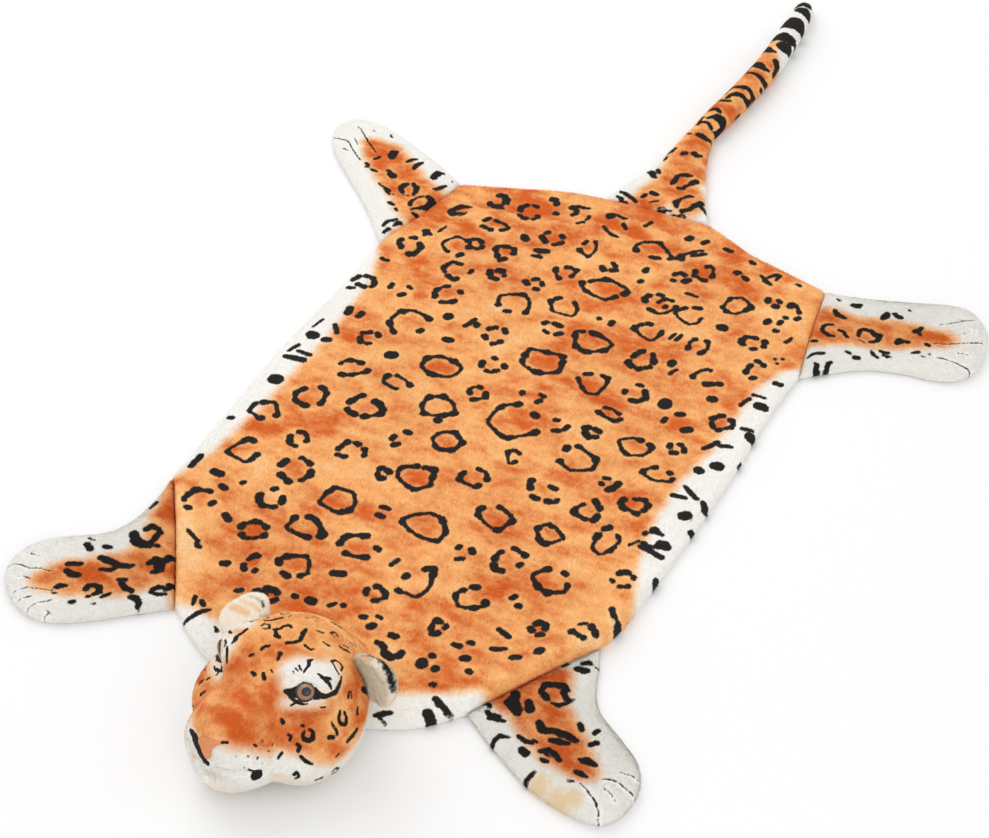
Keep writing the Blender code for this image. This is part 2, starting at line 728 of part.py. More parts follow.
def seatedPad(node, place, outline, dome, edge, ringShares, finish):
    # A pad whose back follows the head and whose front is a low dome.
    # Outline columns: across, up, as seen from in front of it.
    out = towards(place)
    across = np.cross(np.array((0.0, 0.0, 1.0)), out)
    across /= np.linalg.norm(across)
    up = np.cross(out, across)
    count = len(outline)
    offsets = [(0.0, 0.0)]
    shares = [0.0]
    for share in ringShares:
        offsets.extend((a * share, b * share) for a, b in outline)
        shares.extend([share] * count)
    seat = headSurface(np.array([towards(place)]))[0]
    middle = np.array((0.0, HEAD_MIDDLE[1], HEAD_MIDDLE[2]))
    directions = np.array([towards(seat + across * a + up * b) for a, b in offsets])
    back = headSurface(directions)
    rise = edge + dome * (1.0 - np.array(shares) ** 2)
    gapped = back + directions * SEAT_GAP
    front = back + directions * (SEAT_GAP + rise)[:, None]
    points = np.concatenate([headToRug(gapped), headToRug(front)])
    faces = []
    half = len(offsets)
    for k in range(count):
        n = (k + 1) % count
        faces.append((0, 1 + n, 1 + k))
        faces.append((half, half + 1 + k, half + 1 + n))
        for r in range(len(ringShares) - 1):
            a = 1 + r * count
            b = a + count
            faces.append((a + k, a + n, b + n, b + k))
            faces.append((half + a + k, half + b + k, half + b + n, half + a + n))
        last = 1 + (len(ringShares) - 1) * count
        faces.append((last + k, last + n, half + last + n, half + last + k))
    return makeObject(node, [tuple(p) for p in points], faces, finish)


def buildFace():
    circle = [(EYE_RADIUS * math.cos(math.tau * k / EYE_POINTS),
               EYE_RADIUS * math.sin(math.tau * k / EYE_POINTS))
              for k in range(EYE_POINTS)]
    for node, place in EYES.items():
        seatedPad(node, place, circle, EYE_DOME, PAD_EDGE, EYE_RINGS, "eye_gloss")
    outline = curveThrough((*NOSE_OUTLINE, NOSE_OUTLINE[0]), NOSE_STEP)
    seatedPad("nose", NOSE_PLACE, [tuple(p) for p in outline], NOSE_DOME, PAD_EDGE,
              NOSE_RINGS, "nose_cloth")


def overHead(places, rise):
    # The places moved along their directions to the given height over the head.
    directions = np.array([towards(p) for p in places])
    return headSurface(directions) + directions * rise, directions


def earRings(place, out, along):
    # Rings of one ear: those of its seat from the middle out, then up to its tip.
    out = np.array(out) / np.linalg.norm(out)
    along = np.array(along) - out * float(np.dot(along, out))
    along /= np.linalg.norm(along)
    front = np.cross(along, out)
    if front[1] > 0.0:
        front = -front
    seat = overHead([place], 0.0)[0][0]
    shape = np.array(EAR_SHAPE)
    angles = math.tau * np.arange(EAR_POINTS) / EAR_POINTS
    rings = []
    for share in EAR_SEAT_RINGS:
        ring = (seat + along * (shape[0, 1] * share * np.cos(angles))[:, None]
                + front * (shape[0, 2] * share * np.sin(angles))[:, None])
        rings.append(overHead(ring, SEAT_GAP)[0])
    for r in range(EAR_RINGS):
        share = 1.0 - (1.0 - r / (EAR_RINGS - 1)) ** EAR_CROWDING
        half, thick, curl = (np.interp(share, shape[:, 0], shape[:, k]) for k in (1, 2, 3))
        across = half * np.cos(angles)
        ahead = thick * np.sin(angles) + curl * (across / shape[:, 1].max()) ** 2
        ring = (seat + along * across[:, None] + front * ahead[:, None]
                + out * (EAR_LENGTH * share))
        lowest, directions = overHead(ring, SEAT_GAP + r * EAR_RISE)
        low = ((lowest - ring) * directions).sum(axis=1) > 0.0
        rings.append(np.where((low | (r == 0))[:, None], lowest, ring))
    hub = overHead([seat], SEAT_GAP)[0]
    return [[tuple(p) for p in headToRug(ring)] for ring in rings], headToRug(hub)[0]


def buildEars():
    for node, (place, out, along) in EARS.items():
        rings, hub = earRings(place, out, along)
        points = [p for ring in rings for p in ring] + [tuple(hub)]
        size = EAR_POINTS
        faces = []
        for r in range(len(rings) - 1):
            for k in range(size):
                n = (k + 1) % size
                faces.append((r * size + k, r * size + n, (r + 1) * size + n,
                              (r + 1) * size + k))
        for k in range(size):
            faces.append((len(points) - 1, (k + 1) % size, k))
        last = (len(rings) - 1) * size
        faces.append(tuple(range(last, last + size)))
        makeObject(node, points, faces, "plush_cream")


def buildRug():
    clearObjects()
    buildBody()
    buildLegs()
    buildTail()
    buildHead()
    buildFace()
    buildEars()


buildRug()
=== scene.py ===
import bpy
import bmesh
import math
import numpy as np
from mathutils import Matrix, Vector, geometry, kdtree
from mathutils.bvhtree import BVHTree


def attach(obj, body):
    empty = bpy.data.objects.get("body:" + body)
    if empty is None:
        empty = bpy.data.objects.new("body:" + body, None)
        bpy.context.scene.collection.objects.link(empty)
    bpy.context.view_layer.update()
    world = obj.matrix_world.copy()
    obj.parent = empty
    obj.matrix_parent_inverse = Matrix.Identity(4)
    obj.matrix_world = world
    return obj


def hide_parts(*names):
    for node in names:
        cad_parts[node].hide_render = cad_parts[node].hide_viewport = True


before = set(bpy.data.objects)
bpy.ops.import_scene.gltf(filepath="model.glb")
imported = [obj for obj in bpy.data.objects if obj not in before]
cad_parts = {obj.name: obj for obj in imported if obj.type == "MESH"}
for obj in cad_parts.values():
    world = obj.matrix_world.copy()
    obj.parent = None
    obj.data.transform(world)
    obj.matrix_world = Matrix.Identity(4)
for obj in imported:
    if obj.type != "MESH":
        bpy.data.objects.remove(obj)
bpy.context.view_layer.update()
scene = bpy.context.scene
mm = 0.001
chinY = 0.6825  # the tables below measure y from the chin, the frame from its middle
farAway = 1e9

# camera, light
view = {
    "place": (0.67268595, -1.47578653, 1.38630096),
    "right": (0.88705381, 0.46166604, 0.0),
    "up": (-0.31687404, 0.60884772, 0.72725188),
    "lens": 72.80,
    "sensor": 36.0,
    "nearest": 0.01,
}
cameraData = bpy.data.cameras.new("photoCamera")
cameraData.lens = view["lens"]
cameraData.sensor_width = view["sensor"]
cameraData.sensor_fit = "HORIZONTAL"
cameraData.clip_start = view["nearest"]
camera = bpy.data.objects.new("photoCamera", cameraData)
scene.collection.objects.link(camera)
right, up = Vector(view["right"]), Vector(view["up"])
facing = Matrix((right, up, right.cross(up))).transposed()
camera.matrix_world = Matrix.Translation(view["place"]) @ facing.to_4x4()
scene.camera = camera
scene.view_settings.view_transform = "Standard"

lights = {
    "sky": 0.84,
    "key": {"place": (-1.9, 1.2, 2.6), "size": 2.6, "power": 34.0},
    "fill": {"place": (1.8, -2.4, 1.8), "size": 2.4, "power": 17.0},
}
world = bpy.data.worlds.new("studio")
world.use_nodes = True
world.node_tree.nodes["Background"].inputs["Color"].default_value = (1, 1, 1, 1)
world.node_tree.nodes["Background"].inputs["Strength"].default_value = lights["sky"]
scene.world = world
for name in ("key", "fill"):
    look = lights[name]
    lamp = bpy.data.lights.new(name, "AREA")
    lamp.size, lamp.energy = look["size"], look["power"]
    lampObject = bpy.data.objects.new(name, lamp)
    lampObject.location = look["place"]
    lampObject.rotation_euler = (-Vector(look["place"])).to_track_quat("-Z", "Y").to_euler()
    scene.collection.objects.link(lampObject)


# measures: the marks are placed in mm, the meshes are in metres
def inMm(points):
    return points * 1000


def fromChin(points):
    # x and y of mesh points as the tables give them
    return inMm(points[:, :2]) + (0, chinY * 1000)


def fromTable(line):
    # x and y of a table as the mesh has them, still in mm
    return line - (0, chinY * 1000)


def softStep(value, low, high):
    t = np.clip((value - low) / (high - low), 0, 1)
    return t * t * (3 - 2 * t)


def table(rows, at):
    rows = np.array(rows, float)
    return np.interp(at, rows[:, 0], rows[:, 1])


# mesh helpers
def mergedNode(name, joint=2e-5):
    # a copy of a CAD node whose loose triangles are joined
    work = bmesh.new()
    work.from_mesh(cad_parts[name].data)
    bmesh.ops.remove_doubles(work, verts=work.verts, dist=joint)
    work.faces.ensure_lookup_table()
    return work


def newPiece(name, points, faces):
    mesh = bpy.data.meshes.new(name)
    mesh.from_pydata([], [], [])
    mesh.vertices.add(len(points))
    mesh.vertices.foreach_set("co", np.asarray(points, np.float32).ravel())
    faces = np.asarray(faces, np.int32)
    mesh.loops.add(faces.size)
    mesh.loops.foreach_set("vertex_index", faces.ravel())
    mesh.polygons.add(len(faces))
    mesh.polygons.foreach_set("loop_start", np.arange(0, faces.size, 3, dtype=np.int32))
    mesh.update(calc_edges=True)
    mesh.polygons.foreach_set("use_smooth", np.ones(len(faces), bool))
    mesh.update()
    piece = bpy.data.objects.new(name, mesh)
    scene.collection.objects.link(piece)
    return piece


def setShare(piece, name, values):
    layer = piece.data.attributes.new(name, "FLOAT", "POINT")
    layer.data.foreach_set("value", np.asarray(values, np.float32))


def setNap(piece, directions):
    layer = piece.data.attributes.new("nap", "FLOAT_VECTOR", "POINT")
    layer.data.foreach_set("vector", np.asarray(directions, np.float32).ravel())


def readOut(items, key, width=1, kind=np.float32):
    values = np.empty(len(items) * width, kind)
    items.foreach_get(key, values)
    return values.reshape(-1, width) if width > 1 else values


def coordinates(piece):
    return readOut(piece.data.vertices, "co", 3).astype(float)


def dropLayers(mesh, names):
    for name in names:
        if name in mesh.attributes:
            mesh.attributes.remove(mesh.attributes[name])


def outlineOf(work):
    # the rim of a panel, counter-clockwise, where the top meets the underside
    nextOf = {}
    for edge in work.edges:
        tops = [f for f in edge.link_faces if f.normal.z > 0.0]
        if len(tops) == 1 and len(edge.link_faces) == 2:
            loop = next(l for l in tops[0].loops if l.edge == edge)
            nextOf[loop.vert.index] = loop.link_loop_next.vert.index
    start = next(iter(nextOf))
    chain = [start]
    while nextOf[chain[-1]] != start:
        chain.append(nextOf[chain[-1]])
    work.verts.ensure_lookup_table()
    return np.array([work.verts[i].co.xy[:] for i in chain])


def smoothOutline(points, step, sharp=0.6):
    # a curve through the points that keeps the corners
    count = len(points)
    ahead = np.roll(points, -1, 0) - points
    ahead /= np.linalg.norm(ahead, axis=1)[:, None]
    turnHere = np.arccos(np.clip((ahead * np.roll(ahead, 1, 0)).sum(1), -1, 1))
    corner = turnHere > sharp
    curve = []
    for i in range(count):
        a, b = points[i], points[(i + 1) % count]
        before = a if corner[i] else points[i - 1]
        after = b if corner[(i + 1) % count] else points[(i + 2) % count]
        length = np.linalg.norm(b - a)
        parts = max(1, int(round(length / step)))
        t = np.arange(parts)[:, None] / parts
        ta = (b - before) * 0.5 if not corner[i] else (b - a)
        tb = (after - a) * 0.5 if not corner[(i + 1) % count] else (b - a)
        scaleA = length / max(np.linalg.norm(ta), 1e-9)
        scaleB = length / max(np.linalg.norm(tb), 1e-9)
        ta, tb = ta * scaleA, tb * scaleB
        t2, t3 = t * t, t * t * t
        curve.append((2 * t3 - 3 * t2 + 1) * a + (t3 - 2 * t2 + t) * ta
                     + (3 * t2 - 2 * t3) * b + (t3 - t2) * tb)
    return np.concatenate(curve)


def distanceTo(points, line, closed=True):
    best = np.full(len(points), farAway)
    ends = np.roll(line, -1, 0) if closed else line[1:]
    for a, b in zip(line, ends):
        ab = b - a
        t = np.clip(((points - a) @ ab) / max(ab @ ab, 1e-18), 0, 1)
        best = np.minimum(best, np.linalg.norm(points - a - t[:, None] * ab, axis=1))
    return best


def inside(points, line):
    result = np.zeros(len(points), bool)
    for a, b in zip(line, np.roll(line, -1, 0)):
        crosses = (a[1] > points[:, 1]) != (b[1] > points[:, 1])
        with np.errstate(divide="ignore", invalid="ignore"):
            at = a[0] + (points[:, 1] - a[1]) * (b[0] - a[0]) / (b[1] - a[1])
        result ^= crosses & (points[:, 0] < at)
    return result


def insetLine(line, amount):
    ahead = np.roll(line, -1, 0) - line
    ahead /= np.linalg.norm(ahead, axis=1)[:, None] + 1e-12
    along = ahead + np.roll(ahead, 1, 0)
    along /= np.linalg.norm(along, axis=1)[:, None] + 1e-12
    inward = np.stack([-along[:, 1], along[:, 0]], 1)
    return line + inward * amount


def areaAbove(points, faces):
    # twice the area of each triangle seen from above, below zero where it faces down
    a, b, c = (points[faces[:, k]] for k in range(3))
    return (b[:, 0] - a[:, 0]) * (c[:, 1] - a[:, 1]) - (b[:, 1] - a[:, 1]) * (c[:, 0] - a[:, 0])


def flatCloth(line, cell, rings):
    # rim, inner rings and a staggered grid, joined to triangles
    places = [line]
    for ring in rings:
        ringLine = insetLine(line, ring)
        keep = distanceTo(ringLine, line) > ring * 0.92
        places.append(ringLine[keep & inside(ringLine, line)])
    low, high = line.min(0), line.max(0)
    grid = []
    for k, y in enumerate(np.arange(low[1], high[1], cell * math.sqrt(0.75))):
        across = np.arange(low[0] + (k % 2) * cell / 2, high[0], cell)
        grid.append(np.stack([across, np.full(len(across), y)], 1))
    grid = np.concatenate(grid)
    grid = grid[inside(grid, line)]
    grid = grid[distanceTo(grid, line) > rings[-1] + cell * 0.55]
    places.append(grid)
    flat = np.concatenate(places)
    count = len(line)
    edges = [(i, (i + 1) % count) for i in range(count)]
    made = geometry.delaunay_2d_cdt([Vector(p) for p in flat], edges, [], 1, 1e-7)
    points = np.array([v[:] for v in made[0]])
    faces = np.array(made[2])
    area = areaAbove(points, faces)
    faces, area = faces[np.abs(area) > 1e-12], area[np.abs(area) > 1e-12]
    faces[area < 0] = faces[area < 0][:, ::-1]
    return points, faces


def meshEdges(faces):
    pairs = np.sort(faces[:, [0, 1, 1, 2, 2, 0]].reshape(-1, 2), axis=1)
    edges, where, uses = np.unique(pairs, axis=0, return_inverse=True, return_counts=True)
    return edges, where.reshape(-1, 3), uses


def evened(values, faces, turns):
    # every value drifts to the mean of its neighbours
    edges = meshEdges(faces)[0]
    count = len(values)
    size = np.maximum(np.bincount(edges.ravel(), minlength=count).astype(float), 1)
    for _ in range(turns):
        values = (np.bincount(edges[:, 0], values[edges[:, 1]], count)
                  + np.bincount(edges[:, 1], values[edges[:, 0]], count)) / size
    return values


def refined(points, faces, chosen):
    # halves every edge that touches a chosen point, and joins the triangles again
    edges, where = meshEdges(faces)[:2]
    cut = chosen[edges].any(1)
    middle = np.full(len(edges), -1)
    middle[cut] = len(points) + np.arange(cut.sum())
    points = np.concatenate([points, points[edges[cut]].mean(1)])
    halves = middle[where]
    number = (halves >= 0).sum(1)
    done = [faces[number == 0]]

    def join(*triangles):
        done.extend(np.stack(corners, 1) for corners in triangles)

    for want, pattern in ((1, (True, False, False)), (2, (True, True, False))):
        rows, mids = faces[number == want], halves[number == want]
        for roll in range(3):
            turned, turnedMids = np.roll(rows, -roll, 1), np.roll(mids, -roll, 1)
            match = ((turnedMids >= 0) == np.array(pattern)).all(1)
            (a, b, c), (ab, bc, ca) = turned[match].T, turnedMids[match].T
            if want == 1:
                join((a, ab, c), (ab, b, c))
            else:
                join((ab, b, bc), (a, ab, bc), (a, bc, c))
    (a, b, c), (ab, bc, ca) = faces[number == 3].T, halves[number == 3].T
    join((a, ab, ca), (ab, b, bc), (ca, bc, c), (ab, bc, ca))
    return points, np.concatenate(done)


# print of the plush
def strokeDistance(points, line, radii):
    best = np.full(len(points), farAway)
    for a, b, ra, rb in zip(line[:-1], line[1:], radii[:-1], radii[1:]):
        ab = b - a
        t = np.clip(((points - a) @ ab) / max(ab @ ab, 1e-12), 0, 1)
        away = np.linalg.norm(points - a - t[:, None] * ab, axis=1) - ra - (rb - ra) * t
        best = np.minimum(best, away)
    return best


def markField(points, strokes, reach=9.0):
    # how far each point is from the edge of the nearest mark in mm, below zero within it
    field = np.full(len(points), reach)
    for line, radii in strokes:
        line, radii = np.asarray(line, float), np.asarray(radii, float)
        if len(line) == 1:
            line, radii = np.repeat(line, 2, 0), np.repeat(radii, 2)
        margin = reach + radii.max()
        near = np.nonzero(((points > line.min(0) - margin)
                           & (points < line.max(0) + margin)).all(1))[0]
        if len(near):
            field[near] = np.minimum(field[near], strokeDistance(points[near], line, radii))
    return field


# panels of cloth
panelLook = {
    "step": 0.0042,  # between the points of the rim
    "height": 0.0036,  # of the rim
    "rings": (0.0012, 0.0034),  # how far the first rings of points lie inside the rim
    "under": ((0.0011, 0.0009), (0.0025, 0.0)),  # inset and height of the turned-in edge
    "level": 0.97,  # the share of the rounded rim from which the top is read
    "drift": 0.006,  # the width over which facets are smoothed away
    "halved": (("fine", 0.75), ("thin", 0.5)),  # which marks get finer cells, and how far off
    "settle": (0.001, 0.012),  # the folds begin this far from the rim
    "ground": 0.0005,
}


def panelPiece(name, cell, roundness, marks, shapeOn):
    # the shown panel: a fine top on the folds of its CAD solid, and a flat underside
    work = mergedNode(name)
    line = smoothOutline(outlineOf(work), panelLook["step"])
    tree = BVHTree.FromBMesh(work)
    work.free()
    flat, faces = flatCloth(line, cell, panelLook["rings"])
    away = distanceTo(flat, line)
    top = np.zeros(len(flat))
    for i, (x, y) in enumerate(flat):
        hit = tree.ray_cast(Vector((x, y, 0.2)), Vector((0, 0, -1)))[0]
        top[i] = hit.z if hit else panelLook["height"]
    inner = away > roundness * panelLook["level"]
    finder = kdtree.KDTree(int(inner.sum()))
    for i in np.nonzero(inner)[0]:
        finder.insert((flat[i][0], flat[i][1], 0.0), int(i))
    finder.balance()
    for i in np.nonzero(~inner)[0]:
        top[i] = top[finder.find((flat[i][0], flat[i][1], 0.0))[1]]
    top = evened(top, faces, max(3, int(round((panelLook["drift"] / cell) ** 2 * 6))))
    for kind, reach in panelLook["halved"]:
        chosen = np.abs(markField(inMm(flat), marks[kind])) < reach * 1000 * cell
        flatTop, faces = refined(np.c_[flat, top], faces, chosen)
        flat, top = flatTop[:, :2], flatTop[:, 2]
    away = distanceTo(flat, line)
    share = np.clip(away / roundness, 0, 1)
    share = np.sqrt(1 - (1 - share) ** 2)
    z = panelLook["height"] + (top - panelLook["height"]) * share
    z += shapeOn(flat) * softStep(away, *panelLook["settle"])
    where, uses = meshEdges(faces)[1:]
    # the rim in order, then the turned-in edge and the underside
    pairs = faces[:, [0, 1, 1, 2, 2, 0]].reshape(-1, 3, 2)[uses[where] == 1]
    nextOf = dict(zip(pairs[:, 0].tolist(), pairs[:, 1].tolist()))
    start = int(pairs[0, 0])
    rim = [start]
    while nextOf[rim[-1]] != start:
        rim.append(nextOf[rim[-1]])
    rimLine = flat[rim]
    points = [np.c_[flat, z]]
    count, total = len(rim), len(flat)
    rows = [faces]
    last = np.array(rim)
    for inset, height in panelLook["under"]:
        ring = insetLine(rimLine, inset)
        points.append(np.c_[ring, np.full(count, height)])
        here = total + np.arange(count)
        total += count
        nextLast, nextHere = np.roll(last, -1), np.roll(here, -1)
        rows += [np.stack([last, here, nextLast], 1), np.stack([nextLast, here, nextHere], 1)]
        last = here
    fill = geometry.tessellate_polygon([[Vector((*p, 0.0)) for p in ring]])
    fill = last[np.array(fill)]
    allPoints = np.concatenate(points)
    area = areaAbove(allPoints, fill)
    fill[area > 0] = fill[area > 0][:, ::-1]
    rows.append(fill)
    piece = newPiece(name + "_plush", allPoints, np.concatenate(rows))
    setShare(piece, "under", (allPoints[:, 2] < panelLook["ground"]).astype(float))
    return piece


# what the plush is made of
plush = {
    "pale": (1.0, 0.63, 0.31),
    "light": (0.98, 0.50, 0.18),
    "deep": (0.74, 0.142, 0.024),
    "white": (0.94, 0.92, 0.87),
    "peach": (0.96, 0.77, 0.51),
    "cream": (1.0, 0.91, 0.77),
    "mark": (0.0130, 0.0115, 0.0105),
    "backing": (0.66, 0.62, 0.54),
}


def node(tree, kind, settings=(), **links):
    # a node with its settings, and its inputs given by name or as i0, i1 and so on
    made = tree.nodes.new(kind)
    for key, value in dict(settings).items():
        setattr(made, key, value)
    for key, value in links.items():
        socket = made.inputs[int(key[1:])] if key[1:].isdigit() else made.inputs[key]
        if isinstance(value, bpy.types.NodeSocket):
            tree.links.new(value, socket)
        else:
            socket.default_value = value
    return made


def mathNode(tree, operation, a, b=0.0, c=0.0):
    return node(tree, "ShaderNodeMath", {"operation": operation}, i0=a, i1=b, i2=c).outputs[0]


def noiseNode(tree, where, scale, detail=2.0, rough=0.5, stretch=None):
    if stretch:
        where = node(tree, "ShaderNodeMapping", {}, Vector=where, Scale=stretch).outputs[0]
    made = node(tree, "ShaderNodeTexNoise", {}, Vector=where, Scale=scale, Detail=detail,
                Roughness=rough)
    return made.outputs["Fac"]


def rangeNode(tree, value, low, high, outLow=0.0, outHigh=1.0):
    made = node(tree, "ShaderNodeMapRange", {"interpolation_type": "SMOOTHSTEP"}, i0=value,
                i1=low, i2=high, i3=outLow, i4=outHigh)
    return made.outputs[0]


def mixNode(tree, share, a, b, mode="MIX"):
    made = node(tree, "ShaderNodeMix", {"data_type": "RGBA", "blend_type": mode})
    for socket, value in ((made.inputs[0], share), (made.inputs[6], a), (made.inputs[7], b)):
        if isinstance(value, bpy.types.NodeSocket):
            tree.links.new(value, socket)
        elif isinstance(value, tuple):
            socket.default_value = (*value, 1.0) if len(value) == 3 else value
        else:
            socket.default_value = value
    return made.outputs[2]


def added(tree, value, other, times=1.0, less=0.0):
    # value + other * times + less
    return mathNode(tree, "ADD", value, mathNode(tree, "MULTIPLY_ADD", other, times, less))


def greyNode(tree, tone):
    return node(tree, "ShaderNodeCombineColor", {}, i0=tone, i1=tone, i2=tone).outputs[0]


def layerNode(tree, key):
    return node(tree, "ShaderNodeAttribute", {"attribute_name": key}).outputs["Fac"]


def newMaterial(name):
    # a material, its tree, its shader and the place of a point on its piece
    material = bpy.data.materials.new(name)
    material.use_nodes = True
    tree = material.node_tree
    where = node(tree, "ShaderNodeTexCoord").outputs["Object"]
    return material, tree, tree.nodes["Principled BSDF"], where


def coloured(tree, shader, colour, grain, low, high):
    # the colour, and a roughness that goes with the grain
    tree.links.new(colour, shader.inputs["Base Color"])
    tree.links.new(rangeNode(tree, grain, 0.2, 0.8, low, high), shader.inputs["Roughness"])


def bumped(tree, shader, height, depth):
    bump = node(tree, "ShaderNodeBump", {}, Strength=0.4, Distance=depth, Height=height)
    tree.links.new(bump.outputs[0], shader.inputs["Normal"])


plushGrain = {  # roughness and scale of each noise, from single tufts to clouds of colour
    "fine": (0.6, (900.0, 620.0, 900.0)),
    "small": (0.55, (420.0, 230.0, 330.0)),
    "patch": (0.58, (38.0, 58.0, 50.0)),
    "broad": (0.5, (13.0, 24.0, 20.0)),
}


def plushMaterial(name, light, deep, white, feather=1.0, blur=1.0):
    material, tree, shader, where = newMaterial(name)
    fine, small, patch, broad = (noiseNode(tree, where, 1.0, 2.0, rough, scale)
                                 for rough, scale in plushGrain.values())
    # ground: light and deep orange run into each other in soft patches
    share = added(tree, layerNode(tree, "deep"), patch, 2.5, -1.16)
    share = added(tree, share, broad, 2.2, -1.06)
    share = added(tree, share, small, 0.8, -0.40)
    ground = mixNode(tree, rangeNode(tree, share, -0.05, 1.25), light, deep)
    ground = mixNode(tree, rangeNode(tree, share, 0.15, -0.7), ground, plush["pale"])
    # nap: each tuft is a little lighter or darker than the next
    tone = mathNode(tree, "MULTIPLY_ADD", layerNode(tree, "tone"), 0.34, 0.65)
    tone = added(tree, tone, fine, 0.26, 0.0)
    tone = added(tree, tone, small, 0.16, 0.0)
    ground = mixNode(tree, 1.0, ground, greyNode(tree, tone), "MULTIPLY")
    tone = mathNode(tree, "MULTIPLY_ADD", tone, 0.45, 0.57)
    white = mixNode(tree, 1.0, white, greyNode(tree, tone), "MULTIPLY")
    # white runs into the orange over some millimetres, through a pale tan; where deep runs high it turns
    # peach, the real peach patch on the front left paw and painted shade under the chin
    peachTintAndShade = rangeNode(tree, added(tree, layerNode(tree, "deep"), small, 0.8, -0.40), 0.8, 1.5)
    white = mixNode(tree, peachTintAndShade, white, plush["peach"])
    edge = added(tree, layerNode(tree, "white"), patch, 8.0 * blur, -4.0 * blur)
    edge = added(tree, edge, small, 7.0 * blur, -3.5 * blur)
    tan = mathNode(tree, "MULTIPLY", rangeNode(tree, edge, 13.0, 2.0), 0.75)
    ground = mixNode(tree, tan, ground, plush["pale"])
    ground = mixNode(tree, rangeNode(tree, edge, 8.0, -4.5), ground, white)
    # marks: printed on the pile, so their edges are feathered
    markEdge = added(tree, layerNode(tree, "mark"), small, 2.6 * feather, -1.3 * feather)
    markEdge = added(tree, markEdge, fine, 1.6 * feather, -0.8 * feather)
    markTone = mixNode(tree, fine, plush["mark"], tuple(2.8 * v for v in plush["mark"]))
    low, high = -0.65 * feather, 0.50 * feather
    colour = mixNode(tree, rangeNode(tree, markEdge, high, low), ground, markTone)
    # plain woven cloth underneath
    weave = [node(tree, "ShaderNodeTexWave", {"bands_direction": way}, Vector=where, Scale=260.0,
                  Distortion=0.6).outputs["Fac"] for way in "XY"]
    weave = mathNode(tree, "MAXIMUM", *weave)
    backing = mixNode(tree, weave, tuple(0.72 * v for v in plush["backing"]), plush["backing"])
    colour = mixNode(tree, layerNode(tree, "under"), colour, backing)
    coloured(tree, shader, colour, fine, 0.86, 0.98)
    shader.inputs["Specular IOR Level"].default_value = 0.07
    shader.inputs["Sheen Weight"].default_value = 0.04
    shader.inputs["Sheen Roughness"].default_value = 0.5
    bumped(tree, shader, fine, 0.0008)
    return material


plushPrint = plushMaterial("plushPrint", plush["light"], plush["deep"], plush["white"])
plushFace = plushMaterial("plushFace", plush["light"], plush["deep"], plush["white"], 0.6, 0.6)
plushCream = plushMaterial("plushCream", (0.97, 0.62, 0.34), (0.90, 0.38, 0.13), plush["cream"])


# short pile that stands on every plush piece
pileLook = {"length": 0.0026, "width": 0.0011, "lift": 0.42, "liftSpread": 0.20,
            "swing": 0.55, "roll": 0.35}
shadeTilt = 0.16


def randomNode(tree, low, high, seed):
    made = node(tree, "FunctionNodeRandomValue", {"data_type": "FLOAT"}, i2=low, i3=high, Seed=seed)
    return made.outputs[1]


def namedField(tree, name, kind="FLOAT"):
    return node(tree, "GeometryNodeInputNamedAttribute", {"data_type": kind}, Name=name).outputs[0]


def stored(tree, geometry, name, value, kind="FLOAT", domain="POINT"):
    return node(tree, "GeometryNodeStoreNamedAttribute", {"data_type": kind, "domain": domain},
                Geometry=geometry, Name=name, Value=value).outputs[0]


def underTuft(tree, plushMesh, value, kind="FLOAT"):
    # what the cloth has nearest to a tuft
    return node(tree, "GeometryNodeSampleNearestSurface", {"data_type": kind}, Mesh=plushMesh,
                Value=value).outputs[0]


